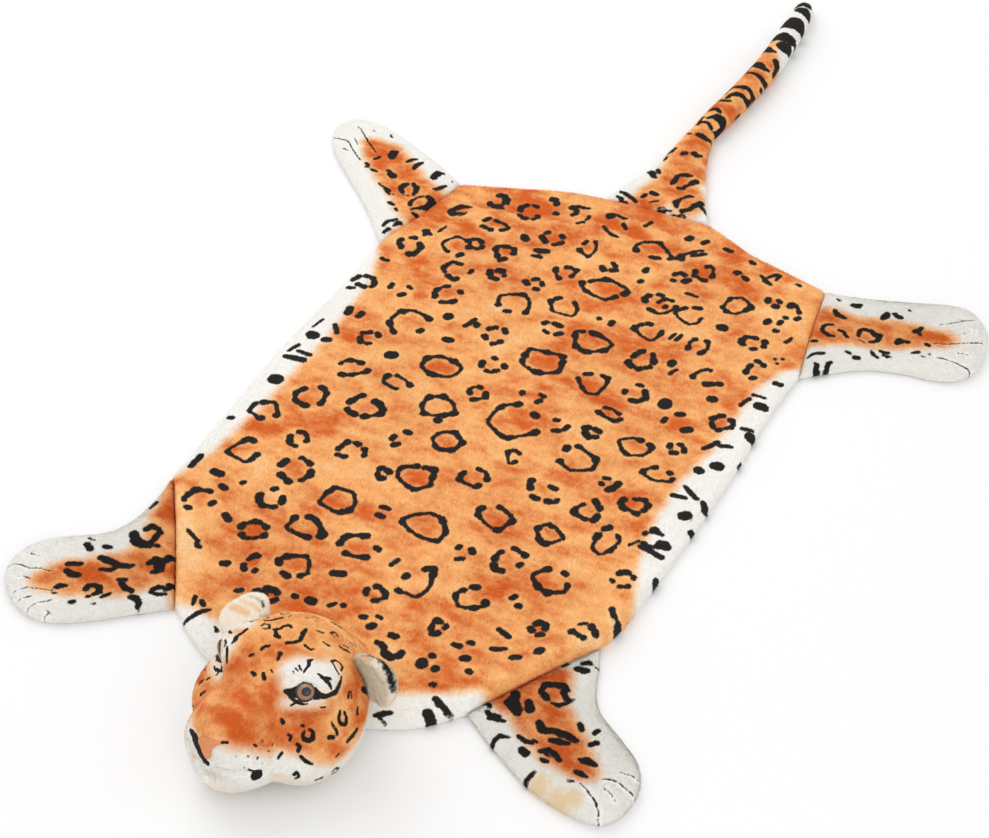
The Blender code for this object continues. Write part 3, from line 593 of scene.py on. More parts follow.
def pileTree():
    tree = bpy.data.node_groups.new("pile", "GeometryNodeTree")
    face = tree.interface
    face.new_socket("plush", in_out="INPUT", socket_type="NodeSocketGeometry")
    for key in ("density", "length", "width", "lift", "liftSpread", "swing", "roll"):
        face.new_socket(key, in_out="INPUT", socket_type="NodeSocketFloat")
    face.new_socket("seed", in_out="INPUT", socket_type="NodeSocketInt")
    face.new_socket("finish", in_out="INPUT", socket_type="NodeSocketMaterial")
    face.new_socket("tufts", in_out="OUTPUT", socket_type="NodeSocketGeometry")
    given = node(tree, "NodeGroupInput")
    value = {s.name: s for s in given.outputs}

    def sized(a, b):
        return mathNode(tree, "MULTIPLY", a, b)
    thick = sized(value["density"], namedField(tree, "pile"))
    spread = node(tree, "GeometryNodeDistributePointsOnFaces", {"distribute_method": "RANDOM"},
                  Mesh=value["plush"], Density=thick, Seed=value["seed"])
    tuft = node(tree, "GeometryNodeMeshCircle", {"fill_type": "NGON"}, Vertices=3, Radius=1.0)
    tuft = node(tree, "GeometryNodeTransform", {}, Geometry=tuft.outputs[0],
                Translation=(0.5, 0.0, 0.0)).outputs[0]
    stand = node(tree, "FunctionNodeAlignRotationToVector", {"axis": "Z"},
                 Vector=spread.outputs["Normal"]).outputs[0]
    combed = node(tree, "FunctionNodeAlignRotationToVector", {"axis": "X", "pivot_axis": "Z"},
                  Rotation=stand, Vector=namedField(tree, "nap", "FLOAT_VECTOR")).outputs[0]
    sway = [randomNode(tree, -1.0, 1.0, value["seed"])]
    for offset in (1.0, 2.0, 3.0, 4.0):
        sway.append(randomNode(tree, -1.0, 1.0, mathNode(tree, "ADD", value["seed"], offset)))
    lifted = mathNode(tree, "ADD", value["lift"], sized(sway[1], value["liftSpread"]))
    bend = node(tree, "ShaderNodeCombineXYZ", {}, i0=sized(sway[0], value["roll"]),
                i1=sized(lifted, -1.0), i2=sized(sway[2], value["swing"])).outputs[0]
    bent = node(tree, "FunctionNodeEulerToRotation", {}, i0=bend).outputs[0]
    turned = node(tree, "FunctionNodeRotateRotation", {"rotation_space": "LOCAL"}, i0=combed,
                  i1=bent).outputs[0]
    grown = sized(mathNode(tree, "MULTIPLY_ADD", sway[3], 0.22, 1.0), namedField(tree, "pile"))
    # the triangle in its circle is 1.5 long and the root of 3 wide
    scale = node(tree, "ShaderNodeCombineXYZ", {},
                 i0=sized(sized(value["length"], 1 / 1.5), grown),
                 i1=sized(value["width"], 1 / 1.732), i2=1.0).outputs[0]
    placed = node(tree, "GeometryNodeInstanceOnPoints", {}, Points=spread.outputs["Points"],
                  Instance=tuft, Rotation=turned, Scale=scale).outputs[0]
    shade = mathNode(tree, "MULTIPLY_ADD", sway[4], 0.5, 0.5)
    placed = stored(tree, placed, "tone", shade, domain="INSTANCE")
    made = node(tree, "GeometryNodeRealizeInstances", {}, Geometry=placed).outputs[0]
    for key in ("mark", "white", "deep"):
        # the print lies on the pile, so a tuft takes the colour of the place it reaches
        made = stored(tree, made, key, underTuft(tree, value["plush"], namedField(tree, key)))
    normal = node(tree, "GeometryNodeInputNormal").outputs[0]
    normal = underTuft(tree, value["plush"], normal, "FLOAT_VECTOR")
    made = stored(tree, made, "lie", normal, "FLOAT_VECTOR")
    made = node(tree, "GeometryNodeSetMaterial", {}, Geometry=made,
                Material=value["finish"]).outputs[0]
    out = node(tree, "NodeGroupOutput")
    tree.links.new(made, out.inputs[0])
    return tree


pileMaker = pileTree()


def pilePiece(name, source, triangles, seed, **changes):
    # tufts over one piece, made a plain mesh
    look = {**pileLook, **changes}
    share = readOut(source.data.attributes["pile"].data, "value")
    faces = readOut(source.data.polygons, "vertices", 3, np.int32)
    places = coordinates(source)
    a, b, c = (places[faces[:, k]] for k in range(3))
    area = np.linalg.norm(np.cross(b - a, c - a), axis=1) / 2
    weight = float((area * share[faces].mean(1)).sum())
    comb = source.modifiers.new("pile", "NODES")
    comb.node_group = pileMaker
    inputs = {"density": triangles / weight, "seed": seed,
              "finish": source.data.materials[0], **look}
    for item in pileMaker.interface.items_tree:
        if item.in_out == "INPUT" and item.name in inputs:
            comb[item.identifier] = inputs[item.name]
    graph = bpy.context.evaluated_depsgraph_get()
    mesh = bpy.data.meshes.new_from_object(source.evaluated_get(graph), depsgraph=graph)
    source.modifiers.remove(comb)
    piece = bpy.data.objects.new(name, mesh)
    scene.collection.objects.link(piece)
    # a tuft is shaded much like the cloth under it
    count = len(mesh.vertices)
    tilt = np.random.default_rng(seed).normal(0, shadeTilt, (count // 3 + 1, 3))
    lie = readOut(mesh.attributes["lie"].data, "vector", 3) + np.repeat(tilt, 3, 0)[:count]
    lie /= np.linalg.norm(lie, axis=1)[:, None]
    mesh.polygons.foreach_set("use_smooth", np.ones(len(mesh.polygons), bool))
    mesh.normals_split_custom_set_from_vertices(lie.astype(np.float32))
    dropLayers(mesh, ("lie", "nap", "pile"))
    print(name, len(mesh.polygons), "tufts")
    return piece


handUneven = (0.86, 1.14)


def handStrokes(rows, rng, wobble=0.5, bold=1.1, more=0.35):
    # rows of x, y, half width, ... as lines drawn by an unsteady hand
    strokes = []
    for row in rows:
        nodes = np.array(row, float).reshape(-1, 3)
        line, radii = [nodes[0, :2]], [nodes[0, 2]]
        for a, b in zip(nodes[:-1], nodes[1:]):
            parts = max(1, int(np.linalg.norm(b[:2] - a[:2]) / 3.0))
            for k in range(1, parts + 1):
                mixed = a + (b - a) * k / parts
                line.append(mixed[:2])
                radii.append(mixed[2] * rng.uniform(*handUneven))
        line = np.array(line) + rng.normal(0, wobble, (len(line), 2))
        strokes.append((fromTable(line), np.array(radii) * bold + more))
    return strokes


# the body and its rosettes
ringLook = {
    "corners": (5, 7),
    "manyCorners": (6, 9),
    "wide": 14,  # mean half size in mm past which there are many corners
    "sizes": (0.80, 1.16),
    "turn": 0.34,
    "straight": 0.45,  # the rest is a round line through the corners
    "heavy": (2.5, 3.5, 1.8, 0.088),  # half width: least, most, and how it goes with the size
    "thin": (0.57, 0.85),
    "swelling": (0.25, 0.90),
    "swollen": (2.6, 4.4),
    "most": 1.45,
    "shake": 0.30,
}


def rosette(x, y, across, along, kind, rng):
    # strokes of one rosette round its middle, in mm; no two are alike
    mean = (across + along) / 2
    corners = int(rng.integers(*ringLook["manyCorners" if mean > ringLook["wide"] else "corners"]))
    turn = ringLook["turn"]
    angles = rng.uniform(0, math.tau) + math.tau * (
        np.arange(corners) + rng.uniform(-turn, turn, corners)) / corners
    sizes = rng.uniform(*ringLook["sizes"], corners)
    ring = np.stack([x + across * sizes * np.cos(angles), y + along * sizes * np.sin(angles)], 1)
    least, most, base, growth = ringLook["heavy"]
    heavy = min(most, max(least, base + mean * growth))
    stretch = math.tau * mean / corners

    def at(t):
        # a place on the ring, counted in corners
        k, f = int(math.floor(t)), t - math.floor(t)
        a, b, c, d = (ring[(k + j) % corners] for j in (-1, 0, 1, 2))
        curved = b + 0.5 * f * (c - a + f * (2 * a - 5 * b + 4 * c - d
                                             + f * (3 * b - a - 3 * c + d)))
        return ringLook["straight"] * (b + (c - b) * f) + (1 - ringLook["straight"]) * curved

    def run(start, end, thick=1.0):
        # thin stretches between swollen ends and corners
        steps = max(3, int(round((end - start) * stretch / 2.2)))
        ts = np.linspace(start, end, steps + 1)
        line = np.array([at(t) for t in ts]) + rng.normal(0, ringLook["shake"], (steps + 1, 2))
        swollen = [start, end]
        swollen += [t for t in range(math.ceil(start), int(end) + 1) if rng.random() < 0.5]
        radii = heavy * thick * rng.uniform(*ringLook["thin"], steps + 1)
        for t in swollen:
            size = heavy * thick * rng.uniform(*ringLook["swelling"])
            radii += size * np.exp(-((ts - t) * stretch / rng.uniform(*ringLook["swollen"])) ** 2)
        return line, np.minimum(radii, heavy * ringLook["most"])

    def dot(t, size):
        middle = at(t)
        ahead = at(t + 0.15) - middle
        ahead /= np.linalg.norm(ahead) + 1e-9
        long = size * rng.uniform(0.2, 0.8)
        return (np.array([middle - ahead * long, middle + ahead * long]),
                size * rng.uniform(0.8, 1.05, 2))
    if kind == "whole":
        half = corners * rng.uniform(0.38, 0.62)
        gaps = rng.uniform(0.40, 0.75, 2) * 12 / stretch
        return [run(0.0, half), run(half + gaps[0], corners - gaps[1])]
    if kind == "open":
        end = corners * rng.uniform(0.60, 0.70)
        return [run(0.0, end), dot(corners * 0.85, heavy * 1.35)]
    if kind == "pair":
        return [run(0.0, corners * rng.uniform(0.30, 0.38), 1.1),
                run(corners * 0.5, corners * rng.uniform(0.78, 0.88), 1.1)]
    if kind == "parts":
        number = 3 if mean < 11.5 else 4
        cuts = corners * (np.arange(number) + rng.uniform(-0.10, 0.10, number)) / number
        parts = []
        for cut in cuts:
            if rng.random() < 0.3:
                parts.append(dot(cut + 0.3, heavy * rng.uniform(1.2, 1.5)))
            else:
                parts.append(run(cut, cut + corners / number * rng.uniform(0.42, 0.62), 1.12))
        return parts
    number = int(rng.integers(3, 5))
    return [dot(corners * (k + rng.uniform(-0.1, 0.1)) / number, rng.uniform(3.4, 5.0))
            for k in range(number)]


bodyLook = {
    "cell": 0.0034,
    "round": 0.0085,
    "napWay": (0.10, 1.0, 0.0),
    "rosettes": {  # middle x, y and half sizes in mm from the chin, by how whole the ring is
        "whole": ((12, 735, 24, 17), (3, 600, 25, 18), (35, 650, 22, 15), (-88, 545, 22, 17),
                  (-28, 448, 16, 15), (10, 340, 23, 19), (-30, 392, 18, 17), (-80, 330, 17, 17),
                  (-60, 490, 18, 17), (145, 777, 15, 13), (140, 530, 17, 13), (118, 382, 16, 13)),
        "open": ((20, 505, 24, 24), (-150, 590, 21, 19), (80, 695, 15, 14), (-15, 690, 17, 16),
                 (65, 592, 15, 16), (98, 485, 20, 17), (38, 272, 15, 20), (-75, 238, 17, 14),
                 (110, 737, 15, 14), (170, 400, 12, 18), (-35, 792, 10, 15), (62, 380, 19, 15),
                 (-65, 670, 19, 17), (30, 822, 22, 16), (148, 330, 17, 17), (-165, 728, 15, 15),
                 (90, 278, 16, 13), (178, 502, 15, 11), (-198, 348, 17, 16), (40, 462, 8, 9)),
        "pair": ((20, 418, 14, 14), (138, 697, 11, 11), (-165, 500, 15, 13), (-115, 503, 15, 9),
                 (-212, 405, 15, 15), (-180, 445, 17, 16), (-35, 525, 11, 10), (100, 560, 14, 9),
                 (-40, 742, 12, 13), (-150, 742, 9, 9), (-133, 258, 13, 13), (165, 655, 15, 11),
                 (-160, 385, 10, 12), (-90, 285, 20, 14), (80, 738, 12, 12), (95, 810, 11, 13)),
        "parts": ((110, 600, 12, 12), (68, 740, 13, 13), (185, 728, 13, 13), (-90, 842, 15, 12),
                  (-122, 820, 12, 12), (-162, 822, 11, 13), (-145, 780, 16, 12), (-115, 742, 12, 14),
                  (-145, 690, 15, 15), (-135, 650, 15, 14), (-185, 635, 11, 11), (-60, 612, 12, 15),
                  (-40, 572, 13, 13), (-212, 703, 14, 11), (-175, 548, 13, 11), (95, 650, 14, 15),
                  (203, 690, 8, 14), (-125, 455, 22, 15), (87, 430, 18, 12), (138, 428, 12, 14),
                  (-105, 395, 17, 13), (-140, 345, 18, 16), (100, 335, 14, 15), (-140, 303, 14, 13),
                  (-35, 288, 20, 14), (-200, 268, 14, 15), (203, 600, 11, 13), (175, 455, 16, 12),
                  (10, 242, 11, 9), (205, 790, 11, 14), (-78, 790, 12, 13), (-110, 223, 8, 10),
                  (208, 422, 11, 12), (205, 362, 13, 11), (200, 285, 12, 9), (-225, 628, 13, 10)),
        "dots": ((75, 790, 9, 8), (0, 770, 9, 8), (-105, 705, 9, 9), (-10, 652, 11, 9),
                 (165, 580, 13, 12), (60, 520, 9, 9), (95, 527, 9, 6), (58, 325, 9, 10),
                 (80, 235, 7, 8), (140, 470, 8, 8), (20, 548, 12, 6), (-70, 430, 9, 11),
                 (178, 545, 8, 7), (-60, 710, 10, 8), (182, 797, 8, 7), (-62, 382, 7, 6),
                 (-75, 198, 9, 6), (162, 275, 8, 8)),
    },
    "spots": (  # x, y, half sizes, turn in degrees
        (-107, 853, 6, 4, 20), (103, 858, 7, 3.4, -10), (75, 860, 6, 3.4, 70), (56, 858, 6, 4.4, 80),
        (135, 851, 6, 3, -10), (193, 839, 5, 2, 0), (-38, 855, 6, 4, 30), (-17, 847, 6, 2.6, -40),
        (5, 862, 8, 2.8, 80), (78, 836, 9, 3, 30), (62, 826, 9, 3.6, 110), (128, 825, 5, 4, 60),
        (139, 820, 6, 3.6, -40), (37, 785, 6, 3.6, 90), (40, 765, 4, 3, 80), (97, 770, 8, 2, 0),
        (186, 767, 6, 4.2, 80), (199, 770, 5, 3, 70), (200, 757, 4, 3, 0), (217, 749, 8, 2.2, 70),
        (215, 715, 2.6, 2, 0), (222, 719, 2.6, 2, 40), (220, 709, 2.6, 2, 0), (147, 735, 7, 6, 30),
        (-207, 732, 4.6, 4, 0), (-106, 776, 7, 4.6, -50), (-80, 764, 10, 4.4, 10),
        (-80, 753, 8, 3, 5), (26, 690, 3.6, 3, 0), (41, 688, 6, 4, 90), (107, 699, 7, 2, 80),
        (114, 700, 7, 2.4, 80), (123, 658, 6, 4.6, 90), (130, 648, 7, 2, 70), (182, 628, 6, 5, 20),
        (-117, 617, 6, 5.6, 0), (-91, 618, 9, 2.6, 70), (-83, 618, 5, 3.6, 90), (-99, 585, 8, 4, 10),
        (-140, 537, 8, 6.6, 30), (-215, 578, 8, 4.6, 110), (-201, 577, 7, 4.4, 80),
        (142, 600, 8, 6.6, 80), (-226, 671, 6, 2.8, 0), (-175, 308, 4, 3, 80), (-205, 308, 8, 4.6, 0),
        (-190, 295, 6, 4, -10), (-164, 262, 7, 4, -30), (-37, 343, 6, 3, 0), (-36, 332, 6, 3.4, 0),
        (-33, 248, 8, 4.4, 20), (7, 284, 8, 2.6, 70), (125, 297, 5, 3, 60), (133, 290, 4.4, 3.6, 0),
        (136, 256, 9, 2.8, -20), (140, 237, 9, 2.6, 30), (105, 223, 6, 3, 0), (115, 232, 5, 3, 20),
        (120, 213, 6, 4, 20), (-178, 226, 10, 2, -20), (-168, 218, 5, 3, -30), (-134, 212, 6, 4, 10),
        (-88, 195, 4, 4, 0), (-53, 205, 4, 3, 0), (-38, 208, 6, 4.6, 10), (-18, 213, 5, 2.6, 60),
        (-8, 217, 3, 3, 0), (15, 213, 5, 3, 10), (27, 206, 5, 4, 60), (28, 219, 4, 2, 0),
        (50, 206, 6, 3.6, 10), (45, 192, 7, 3, -10), (56, 184, 8, 4, -10), (66, 190, 6, 4, 90),
        (88, 190, 6.6, 5.6, 80), (102, 190, 5, 4.2, 60), (92, 202, 4, 3, 0), (109, 173, 4, 2.6, 0),
        (176, 247, 6, 5, 70), (-50, 472, 5, 4, 0), (160, 232, 6, 4, 20), (130, 200, 4, 3, 0),
        (235, 372, 8, 4.6, 110), (223, 463, 7, 5.6, 20), (238, 448, 6, 4.6, 0), (209, 431, 8, 2.2, 5),
        (222, 420, 6, 4.6, -40), (213, 407, 13, 3.2, -8), (194, 411, 7, 1.4, 60),
        (215, 495, 11, 2.6, -30), (234, 484, 9, 3, -60), (207, 484, 9, 2.6, 10), (238, 594, 8, 5.6, -30),
        (230, 603, 7, 2.4, 10), (244, 556, 6, 3.4, 80), (223, 541, 8, 5.8, 20), (210, 527, 5.6, 5, 0),
        (207, 566, 11, 2.6, 60), (221, 571, 8, 2.4, 20), (230, 641, 8, 4.8, 0), (222, 654, 9, 2, 5),
        (213, 640, 9, 2.2, 70), (232, 680, 6, 3.4, 0), (216, 317, 9, 3, -50), (226, 305, 8, 3, -70),
        (-229, 526, 8, 6, 0), (-234, 545, 8, 1.6, 80), (-212, 526, 6, 4, 20), (-212, 545, 9, 2.6, -50),
        (-236, 500, 8, 2.4, 70), (-222, 497, 9, 2.6, 0), (-226, 486, 13, 3.4, 8), (-227, 450, 8, 6.6, 0),
        (-236, 380, 5, 3, 10), (-233, 612, 6, 3, 20), (-233, 312, 11, 3.4, 85), (-238, 242, 7, 3, 90),
        (-70, 190, 4, 3, 0), (-104, 188, 5, 3, 30), (124, 140, 9, 5, -40), (138, 132, 7, 2, 30),
    ),
    # strokes, and pale places that are painted highlight along the raised edge by the front legs: x, y,
    # half width, and so on
    "drawn": (
        (119, 160, 2.8, 125, 156, 3.3, 132, 153, 2.3, 136, 154, 1.2), (133, 149, 0.7, 139, 154, 0.7),
        (138, 143, 0.6, 141, 145, 0.6), (81, 121, 2.3, 86, 124, 2.9, 90, 129, 2.3),
        (86, 119, 1, 92, 119, 1), (-97, 141, 1.4, -93, 137, 2),
        (-127, 134, 1.5, -124, 139, 2.4, -121, 147, 2.7, -117, 152, 2.7, -114, 157, 1.6),
        (-131, 154, 1.5, -134, 163, 2.2), (-127, 162, 1.8, -122, 158, 2.4),
        (-186, 799, 2, -193, 797, 2.7, -200, 791, 3.6, -202, 782, 4.1, -197, 776, 3.6, -190, 783, 2.3),
        (-188, 777, 1.3, -186, 782, 2, -185, 787, 1.4), (-206, 724, 2.2, -204, 729, 3.3, -199, 729, 1.8),
        (-194, 736, 1.1, -192, 744, 1.6, -191, 751, 0.9),
        (-38, 838, 2.2, -29, 829, 2, -22, 825, 2.9, -16, 825, 2),
        (-38, 859, 2, -29, 859, 2.9, -22, 857, 2.7),
        (58, 820, 3.7, 58, 829, 3.1, 67, 836, 2.6, 78, 844, 1.8),
        (152, 835, 2.2, 160, 829, 3.5, 165, 826, 2.6),
        (160, 837, 1.5, 164, 845, 2.6, 169, 845, 2.2, 169, 837, 1.7),
        (-161, 830, 2.3, -155, 827, 3.6, -150, 821, 2.3), (-159, 808, 1.6, -152, 812, 1.8),
        (-84, 853, 2, -77, 856, 2.7, -66, 858, 2), (-66, 826, 2, -60, 832, 2.2),
        (-60, 846, 2.2, -59, 838, 1.8),
    ),
    "pale": (
        (-213, 252, 7.7, -168, 196, 9.3, -138, 150, 9.1),
        (138, 160, 10.4, 164, 194, 10.5, 185, 230, 8, 213, 274, 8),
    ),
    "folds": (
        (-205, 784, 5.6, -183, 804, 5.7, -150, 812, 5.6, -112, 825, 5.6),
        (-202, 732, 5.5, -190, 769, 5.6, -171, 793, 5.6, -138, 807, 5.6, -104, 810, 5.6),
        (-195, 723, 4.4, -175, 753, 4.4, -152, 780, 4.5, -122, 790, 4.5),
        (-91, 770, 5.5, -71, 793, 5.5, -46, 818, 5.6, -32, 846, 5.6),
        (-55, 868, 5.7, -29, 866, 5.6, 5, 866, 5.6, 43, 864, 5.6),
        (-45, 858, 5.6, -9, 856, 5.6, 28, 848, 5.6), (9, 872, 4.5, 33, 860, 4.5, 60, 837, 4.4),
        (-168, 707, 6.6, -144, 718, 6.6), (80, 801, 6.5, 99, 822, 6.5, 121, 844, 6.6),
    ),
    "foldHeights": (-1.6, 1.2, -1.3, -1.3, -1.6, 1.2, -1.8, -1.0, -1.2),
    # where the white begins on each side: y, then x in mm; at the chest: x, then y
    "whiteLeft": ((250, 255), (320, 236), (360, 222), (400, 209), (450, 203), (500, 203), (560, 213),
                  (620, 216), (670, 220), (700, 232), (730, 262)),
    "whiteRight": ((230, -262), (290, -240), (330, -228), (400, -221), (460, -220), (520, -216),
                   (580, -219), (640, -226), (680, -240), (710, -262)),
    "whiteChest": ((-160, 146), (-120, 148), (-90, 142), (-40, 118), (0, 105), (60, 130),
                   (95, 152), (125, 166), (150, 178)),
    # clouds of deeper or paler orange along a line, painted shade in the creases by the front left leg, by
    # the rear right leg and in front of the tail seam, and painted highlight along the raised edge by the
    # right front leg: start, end, half width, amount
    "paintedShading": (
        (-225, 285, -140, 160, 14, -0.35), (-215, 770, -120, 835, 22, 0.30),
        (-45, 850, 60, 838, 9, 0.35), (130, 165, 200, 250, 10, 0.30),
    ),
    # soft creases: start, end, half width and height in mm
    "creases": (
        (-190, 700, -120, 735, 9, 1.0), (-160, 690, -90, 712, 7, -0.8), (60, 850, 130, 815, 10, 1.2),
        (150, 845, 205, 800, 9, -1.2), (190, 820, 226, 760, 7, 0.9), (-60, 845, 0, 838, 7, -1.4),
        (0, 838, 60, 826, 8, -1.3), (-55, 858, 50, 852, 9, 1.3), (-215, 760, -150, 812, 8, 0.9),
        (150, 215, 200, 270, 8, 1.2), (130, 190, 168, 240, 7, -1.3), (185, 330, 215, 420, 10, 0.8),
        (-215, 300, -165, 240, 8, 1.0), (-195, 305, -150, 255, 7, -0.9), (-228, 360, -222, 470, 9, 0.6),
        (100, 640, 190, 610, 18, 0.6), (-120, 420, -20, 440, 22, 0.5), (60, 300, 120, 330, 16, 0.6),
    ),
}


def ridge(points, line, half, height):
    # a soft ridge along a line, or a trough where the height is below zero
    off = strokeDistance(points, np.array(line, float), np.zeros(len(line)))
    return height * np.exp(-(off / half) ** 2)


def foldsAt(points):
    # how far the cloth rises or sinks in mm, points in mm from the chin
    rise = np.zeros(len(points))
    for x0, y0, x1, y1, half, height in bodyLook["creases"]:
        rise += ridge(points, ((x0, y0), (x1, y1)), half, height)
    for row, height in zip(bodyLook["folds"], bodyLook["foldHeights"]):
        nodes = np.array(row, float).reshape(-1, 3)
        rise += ridge(points, nodes[:, :2], nodes[0, 2], height)
    return rise


def bodyShape(places):
    points = fromChin(places)
    x, y = points[:, 0], points[:, 1]
    ripple = 0.35 * mm * np.sin(x / 11.0 + 1.3 * np.sin(y / 23.0)) * np.sin(y / 17.0 + 0.7)
    return foldsAt(points) * mm + ripple


def bodyMarks():
    rng = np.random.default_rng(11)
    strokes, rings = [], []
    for kind, rows in bodyLook["rosettes"].items():
        for x, y, across, along in rows:
            strokes += rosette(x, y, across, along, kind, rng)
            rings.append((x, y, across, along, rng.uniform(0.05, 0.42)))
    for x, y, long, short, turnBy in bodyLook["spots"]:
        reach = max(long - short, 0.3)
        ahead = np.array((math.cos(math.radians(turnBy)), math.sin(math.radians(turnBy))))
        t = np.array((-1.0, 0.0, 1.0)) + rng.uniform(-0.2, 0.2, 3)
        line = np.array((x, y)) + ahead * (t * reach)[:, None] + rng.normal(0, 0.35, (3, 2))
        strokes.append((line, short * rng.uniform(0.84, 1.12, 3) + 0.5))
    strokes = [(fromTable(line), radii) for line, radii in strokes]
    return strokes + handStrokes(bodyLook["drawn"], rng), rings


bodyStrokes, bodyRings = bodyMarks()
body = panelPiece("body", bodyLook["cell"], bodyLook["round"], {"fine": bodyStrokes, "thin": []},
                  bodyShape)


def dress(piece, mark, white, deep, pile, nap, material):
    # what the print and the pile read at each point; the ground is paler beside a mark
    deep = deep - 0.22 * np.exp(-((mark - 1.6) / 1.8) ** 2)
    # the cloth under the tufts reads a lower tone than a tuft on the mean: painted shade at the roots of
    # the pile
    tone = np.full(len(mark), 0.25)
    for key, values in zip(("mark", "white", "deep", "pile", "tone"),
                           (mark, white, deep, pile, tone)):
        setShare(piece, key, values)
    setNap(piece, nap)
    piece.data.materials.append(material)


def napOver(places, along, swirl=0.35):
    # the way the pile lies, with a slow drift from place to place
    x, y = places[:, 0], places[:, 1]
    angle = swirl * np.sin(x * 31 + 1.7) + swirl * np.sin(y * 27 + x * 19)
    c, s = np.cos(angle), np.sin(angle)
    return np.stack([c * along[0] - s * along[1], s * along[0] + c * along[1],
                     np.full(len(places), along[2])], 1)


def pileAbove(points, height=0.0030):
    # no pile on the side that lies on the floor
    return np.where(points[:, 2] < height, 0.0, 1.0)


def dressBody(piece):
    points = coordinates(piece)
    flat, placed = inMm(points[:, :2]), fromChin(points)
    x, y = placed[:, 0], placed[:, 1]
    white = np.minimum(table(bodyLook["whiteLeft"], y) - x, x - table(bodyLook["whiteRight"], y))
    white = np.minimum(white, y - table(bodyLook["whiteChest"], x))
    # deeper orange over the rump, and a painted shadow on the body just behind the head
    deep = 0.30 + 0.16 * softStep(y, 780, 850) + 0.22 * (1 - softStep(y, 185, 260))
    # paler on the raised fold beside the front left leg: painted highlight
    deep -= 0.30 * softStep(x, 150, 200) * (1 - softStep(y, 300, 420)) * softStep(y, 240, 280)
    # painted shade and painted highlight along lines of the body
    for x0, y0, x1, y1, half, amount in bodyLook["paintedShading"]:
        deep += ridge(placed, ((x0, y0), (x1, y1)), half, amount)
    # deeper orange in the troughs and paler on the ridges of the folds: painted shade and painted highlight
    deep -= 0.20 * foldsAt(placed)
    # paler along the raised edge of the body over the front legs: painted highlight
    raisedEdgeHighlight = handStrokes(bodyLook["pale"], np.random.default_rng(2), 0.0, 1.0, 0.0)
    deep -= 0.55 * (1 - softStep(markField(flat, raisedEdgeHighlight, 30.0), -4, 12))
    for cx, cy, across, along, amount in bodyRings:
        off = np.hypot((x - cx) / across, (y - cy) / along)
        deep += amount * (1 - softStep(off, 0.4, 1.2))
    dress(piece, markField(flat, bodyStrokes), white, deep, pileAbove(points),
          napOver(points, bodyLook["napWay"]), plushPrint)


dressBody(body)
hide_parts("body")
pieces = [body]
print("body", len(body.data.polygons))

